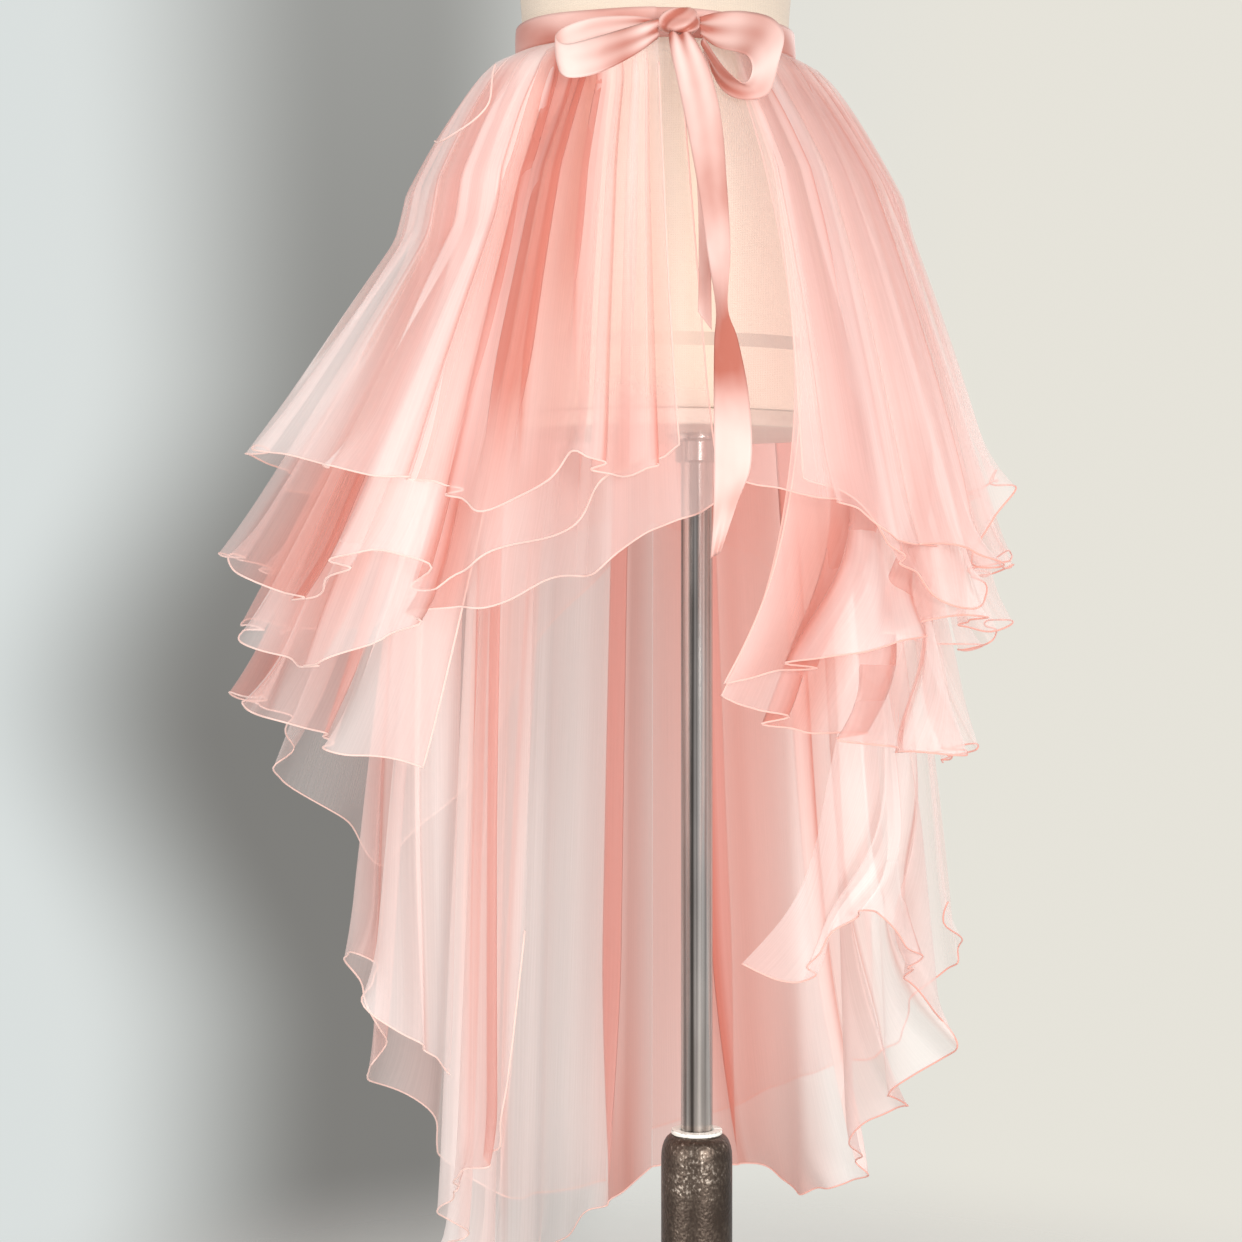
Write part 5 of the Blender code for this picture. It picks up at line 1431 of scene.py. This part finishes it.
class SKIRT_OT_stand(bpy.types.Operator):
    """Build the stand: base, lower tube, collar and pole"""

    bl_idname = "skirt.stand"
    bl_label = "Stand"

    def execute(self, context):
        bronze = finish("hammered_bronze", hammered_bronze)
        base = turn_by_hand("stand_base_bronze", (
            (BASE_RADIUS, 0.0), (BASE_RADIUS, BASE_HEIGHT - 0.004), (BASE_RADIUS - 0.008, BASE_HEIGHT),
        ), bronze, 128)
        soften_edges(base, 0.0015)
        stand_for(base, "stand_base")
        foot = BASE_HEIGHT + SEAM_GAP
        floor = foot + TUBE_FLOOR_RISE
        bore = POLE_RADIUS + BORE_CLEARANCE
        self.turn_tube(foot, floor, bore, bronze)
        self.spin_collar(bore)
        self.turn_pole(floor + SEAM_GAP)
        return {"FINISHED"}

    def turn_tube(self, foot, floor, bore, bronze):
        """The lower tube with its rounded shoulder and its bore."""
        outline = [(TUBE_FOOT_RADIUS, foot), (TUBE_FOOT_RADIUS, foot + 0.004), (TUBE_RADIUS, foot + 0.0055)]
        for angle in (math.radians(15 * step) for step in range(7)):
            outline.append((
                COLLAR_RADIUS + (TUBE_RADIUS - COLLAR_RADIUS) * math.cos(angle),
                TUBE_SHOULDER_HEIGHT + TUBE_SHOULDER_RISE * math.sin(angle),
            ))
        outline += [(COLLAR_RADIUS, TUBE_TOP_HEIGHT), (bore, TUBE_TOP_HEIGHT), (bore, floor)]
        tube = turn_by_hand("stand_lower_tube_bronze", outline, bronze, 96)
        soften_edges(tube, 0.0005, 2, 35)
        stand_for(tube, "stand_lower_tube")

    def turn_pole(self, bottom):
        """The pole with the flange that carries the form's board."""
        plate = FORM_BOTTOM_HEIGHT - SEAM_GAP - PLATE_THICKNESS
        neck = plate - 0.024
        pole = turn_by_hand("pole_steel", (
            (POLE_RADIUS, bottom), (POLE_RADIUS, neck - 0.001), (FLANGE_NECK_RADIUS, neck),
            (FLANGE_NECK_RADIUS, plate - 0.007), (FLANGE_RADIUS, plate - 0.005),
            (FLANGE_RADIUS, plate - SEAM_GAP),
        ), finish("brushed_steel", brushed_steel), 96)
        soften_edges(pole, 0.0006, 2, 35)
        stand_for(pole, "pole")

    def spin_collar(self, bore):
        """The collar's lip: a ring section spun about the pole."""
        bpy.ops.object.select_all(action="DESELECT")
        low, high = TUBE_TOP_HEIGHT + SEAM_GAP, COLLAR_TOP_HEIGHT
        bpy.ops.mesh.primitive_plane_add(size=1.0, location=(0, 0, 0))
        piece = bpy.context.active_object
        piece.name = piece.data.name = "tube_collar_ivory"
        edit_all()
        bpy.ops.transform.resize(value=(COLLAR_RADIUS - bore, high - low, 1), center_override=(0, 0, 0))
        bpy.ops.object.mode_set(mode="OBJECT")
        piece.rotation_euler.x = math.pi / 2
        piece.location = ((bore + COLLAR_RADIUS) / 2, 0, (low + high) / 2)
        bpy.ops.object.transform_apply(location=True, rotation=True, scale=True)
        edit_all()
        bpy.ops.mesh.spin(steps=96, angle=math.tau, center=(0, 0, 0), axis=(0, 0, 1), dupli=False)
        bpy.ops.mesh.select_all(action="SELECT")
        bpy.ops.mesh.remove_doubles(threshold=0.00005)
        bpy.ops.mesh.select_all(action="DESELECT")
        bpy.ops.object.mode_set(mode="OBJECT")
        self.drop_inner_faces(piece)
        settle_normals(piece)
        piece.data.materials.append(finish("ivory_plastic_collar", ivory_plastic))
        soften_edges(piece, 0.0007)
        stand_for(piece, "tube_collar")

    def drop_inner_faces(self, piece):
        """Takes out the spun section's own face, which lies inside the ring."""
        for face in piece.data.polygons:
            face.select = abs(face.normal.y) > 0.9 and abs(face.center.y) < 1e-6
        bpy.ops.object.mode_set(mode="EDIT")
        bpy.ops.mesh.select_mode(type="FACE")
        bpy.ops.mesh.delete(type="ONLY_FACE")
        bpy.ops.object.mode_set(mode="OBJECT")


class SKIRT_OT_stage(bpy.types.Operator):
    """Set the floor, the soft studio light and the camera"""

    bl_idname = "skirt.stage"
    bl_label = "Stage"

    def execute(self, context):
        stage = context.scene.skirt_stage
        self.lay_floor(stage)
        self.light_room(context.scene, stage)
        for lamp in LAMPS:
            self.hang_lamp(lamp, getattr(stage, lamp.kind + "_power"))
        self.set_camera(context)
        return {"FINISHED"}

    def lay_floor(self, stage):
        """A pale floor disc that fades into the room round it."""
        bpy.ops.object.select_all(action="DESELECT")
        bpy.ops.mesh.primitive_circle_add(vertices=128, radius=1.4, fill_type="NGON", location=(0, 0, 0))
        floor = bpy.context.active_object
        floor.name = "floor"
        floor.location.z = -0.0005
        floor.data.materials.append(finish("pale_floor", pale_floor, stage))

    def light_room(self, scene, stage):
        """A grey to off-white room that glows more from the front, and how far its light is followed."""
        world = bpy.data.worlds.new("room")
        scene.world = world
        world.use_nodes = True
        world.cycles.sampling_method = "NONE"
        tree = world.node_tree
        tree.nodes.clear()
        way = node(tree, "TexCoord").outputs["Generated"]
        side = along_axis(tree, way, "X")
        middle = spread(tree, side, 0.0, 1.0, -0.30, 0.30)
        wall = ramp(
            tree, middle, (0.0, stage.wall_left), (0.42, stage.wall_middle), (0.75, stage.wall_right),
            (1.0, stage.wall_right))
        shade = self.wall_shade(tree, side, along_axis(tree, way, "Z"))
        wall = blended(tree, shade, wall, stage.wall_shadow)
        seen = node(tree, "Background", {"Color": wall, "Strength": 1.0})
        dimmer = spread(tree, along_axis(tree, way, "Y"), 1.15, 0.78, -0.6, 0.7, smooth=True)
        strength = maths(tree, "MULTIPLY", dimmer, stage.daylight_strength)
        glow = node(tree, "Background", {"Color": stage.daylight, "Strength": strength})
        room = mixed(tree, node(tree, "LightPath").outputs["Is Camera Ray"], glow, seen)
        node(tree, "OutputWorld", {"Surface": room.outputs[0]}).is_active_output = True
        scene.view_settings.view_transform = "Standard"
        scene.cycles.use_light_tree = False
        for name, count in BOUNCES.items():
            setattr(scene.cycles, name, count)

    def wall_shade(self, tree, side, height):
        """The skirt's soft shadow on the wall at the left: widest at half height."""
        apart = maths(tree, "ABSOLUTE", maths(tree, "ADD", height, 0.035))
        wider = spread(tree, apart, 0.055, 0.0, 0.0, 0.15, smooth=True)
        enters = spread(tree, maths(tree, "ADD", side, wider), 0.0, 1.0, -0.235, -0.12, smooth=True)
        leaves = spread(tree, side, 1.0, 0.0, -0.085, 0.005, smooth=True)
        fainter = spread(tree, height, 0.97, 0.72, -0.05, 0.28)
        return maths(tree, "MULTIPLY", maths(tree, "MULTIPLY", enters, leaves), fainter)

    def hang_lamp(self, lamp, power):
        """One large soft lamp, turned to the skirt at its aim's height."""
        data = bpy.data.lights.new(lamp.kind + "_lamp", "AREA")
        data.shape = "RECTANGLE" if lamp.tall else "DISK"
        data.size = lamp.size
        data.size_y = lamp.tall or data.size_y
        data.energy = power
        data.color = LAMP_COLOUR
        data.specular_factor = lamp.shine
        data.use_shadow = lamp.shadow
        hung = bpy.data.objects.new(lamp.kind + "_lamp", data)
        hung.location = lamp.place
        way = Vector((0.0, 0.0, lamp.aim)) - Vector(lamp.place)
        hung.rotation_euler = way.to_track_quat("-Z", "Y").to_euler()
        hung.visible_camera = False
        bpy.context.collection.objects.link(hung)

    def set_camera(self, context):
        """A level camera in front, a little to the left."""
        data = bpy.data.cameras.new("camera")
        data.sensor_width = CAMERA_SENSOR
        data.lens = CAMERA_LENS
        data.clip_start = 0.05
        camera = bpy.data.objects.new("camera", data)
        camera.location = CAMERA_PLACE
        camera.rotation_euler = (math.radians(90), 0, 0)
        context.collection.objects.link(camera)
        context.scene.camera = camera


def colour_choice(name, description, default):
    return bpy.props.FloatVectorProperty(
        name=name, description=description, default=(*default, 1.0), size=4, min=0.0, max=1.0,
        subtype="COLOR")


def length_choice(name, description, default):
    return bpy.props.FloatProperty(
        name=name, description=description, default=default, min=0.0, precision=5, unit="LENGTH")


def power_choice(name, description, default):
    return bpy.props.FloatProperty(
        name=name, description=description, default=default, min=0.0, unit="POWER")


class SkirtSizes(bpy.types.PropertyGroup):
    """The finer sizes of the cloth"""

    hem_radius: length_choice("Rolled hem", "Half the thickness of the rolled hem", 0.0008)
    pleat_lift: length_choice("Pleat lift", "How far a pleat's leaves lie apart", 0.0034)
    hem_wave_out: length_choice("Hem wave, out", "How far the small waves of a hem stand out", 0.0035)
    hem_wave_drop: length_choice("Hem wave, drop", "How far the small waves of a hem rise and fall", 0.0030)
    gather_out: length_choice("Gathers", "How far the small gathers under the waistband stand out", 0.0007)
    ribbon_thickness: length_choice("Ribbon", "Thickness of the ribbon", 0.0006)
    band_thickness: length_choice("Waistband", "Thickness of the waistband's satin", 0.00084)
    tape_thickness: length_choice("Tape", "Thickness of the tape round the form's hips", 0.0007)
    sheer_share: bpy.props.FloatProperty(
        name="Thread share", description="How much of one flat layer of organza is thread",
        default=0.36, min=0.0, max=1.0, subtype="FACTOR")


class SkirtFabric(bpy.types.PropertyGroup):
    """The colours of the cloth"""

    # Painted light on fold crests and painted shade in fold troughs, for the organza and for the glow
    # through it.
    pale_organza: colour_choice("Pale organza", "Organza on the crests of its folds", (0.98, 0.94, 0.925))
    deep_organza: colour_choice("Deep organza", "Organza in the hollows of its folds", (0.60, 0.205, 0.155))
    pale_glow: colour_choice("Pale glow", "Light that comes through its crests", (0.98, 0.81, 0.75))
    deep_glow: colour_choice("Deep glow", "Light that comes through its hollows", (0.72, 0.33, 0.265))
    # The hem's pale and deep colours are painted light at the left and painted shade at the right.
    hem_pale: colour_choice("Pale hem", "The rolled hem at the left, its palest", (0.90, 0.69, 0.63))
    hem_deep: colour_choice("Deep hem", "The rolled hem at the right, its deepest", (0.86, 0.42, 0.35))
    # Painted light and painted shade of the satin.
    satin_pale: colour_choice("Pale satin", "The ribbon's lighter tone", (0.78, 0.56, 0.51))
    satin_deep: colour_choice("Deep satin", "The ribbon's deeper tone", (0.40, 0.12, 0.085))
    linen_pale: colour_choice("Pale linen", "The form's cover", (0.55, 0.46, 0.39))
    # Painted light on the form's cover where the skirt shades it.
    linen_fresh: colour_choice("Fresh linen", "The cover where shade keeps it fresh", (0.88, 0.73, 0.60))
    linen_deep: colour_choice("Deep linen", "The form's cover where it has yellowed", (0.60, 0.50, 0.41))
    linen_slub: colour_choice("Linen slub", "The cover's thick threads", (0.76, 0.66, 0.50))
    tape: colour_choice("Tape", "The tape round the form's hips", (0.60, 0.47, 0.37))


class SkirtStage(bpy.types.PropertyGroup):
    """The room and its light"""

    key_power: power_choice("Key lamp", "Power of the lamp at the right", 51.0)
    fill_power: power_choice("Fill lamp", "Power of the lamp at the left", 58.0)
    back_power: power_choice("Back lamp", "Power of the lamp behind", 20.0)
    strip_power: power_choice("Strip lamp", "Power of the tall narrow lamp", 20.0)
    daylight_strength: bpy.props.FloatProperty(
        name="Daylight", description="Strength of the room's own light", default=0.52, min=0.0)
    daylight: colour_choice("Daylight colour", "Colour of the room's own light", (0.98, 0.99, 1.0))
    wall_left: colour_choice("Wall, left", "The room behind at the left", (0.70, 0.745, 0.74))
    wall_middle: colour_choice("Wall, middle", "The room behind in the middle", (0.72, 0.73, 0.70))
    wall_right: colour_choice("Wall, right", "The room behind at the right", (0.79, 0.77, 0.70))
    wall_shadow: colour_choice("Wall shadow", "The soft shade at the left", (0.20, 0.195, 0.183))
    floor_pale: colour_choice("Pale floor", "The floor's lighter tone", (0.70, 0.69, 0.66))
    floor_shade: colour_choice("Floor shade", "The floor's darker tone", (0.64, 0.63, 0.60))


class SKIRT_PT_panel(bpy.types.Panel):
    """The skirt's pieces, in the order they are made"""

    bl_idname = "SKIRT_PT_panel"
    bl_label = "Ruffled skirt"
    bl_space_type = "VIEW_3D"
    bl_region_type = "UI"
    bl_category = "Skirt"

    def draw(self, context):
        for operator in OPERATORS:
            self.layout.operator(operator.bl_idname)
        for group in GROUPS:
            box = self.layout.box()
            for name in GROUPS[group].__annotations__:
                box.prop(getattr(context.scene, group), name)


OPERATORS = (SKIRT_OT_stage, SKIRT_OT_stand, SKIRT_OT_form, SKIRT_OT_bow, SKIRT_OT_tiers)
GROUPS = {"skirt_sizes": SkirtSizes, "skirt_fabric": SkirtFabric, "skirt_stage": SkirtStage}
CLASSES = (*GROUPS.values(), *OPERATORS, SKIRT_PT_panel)


def register():
    for each in CLASSES:
        bpy.utils.register_class(each)
    for name, group in GROUPS.items():
        setattr(bpy.types.Scene, name, bpy.props.PointerProperty(type=group))


def unregister():
    for name in GROUPS:
        delattr(bpy.types.Scene, name)
    for each in reversed(CLASSES):
        bpy.utils.unregister_class(each)


def main():
    register()
    bpy.ops.skirt.stage()
    bpy.ops.skirt.stand()
    bpy.ops.skirt.form()
    bpy.ops.skirt.bow()
    bpy.ops.skirt.tiers()


if __name__ == "__main__":
    main()
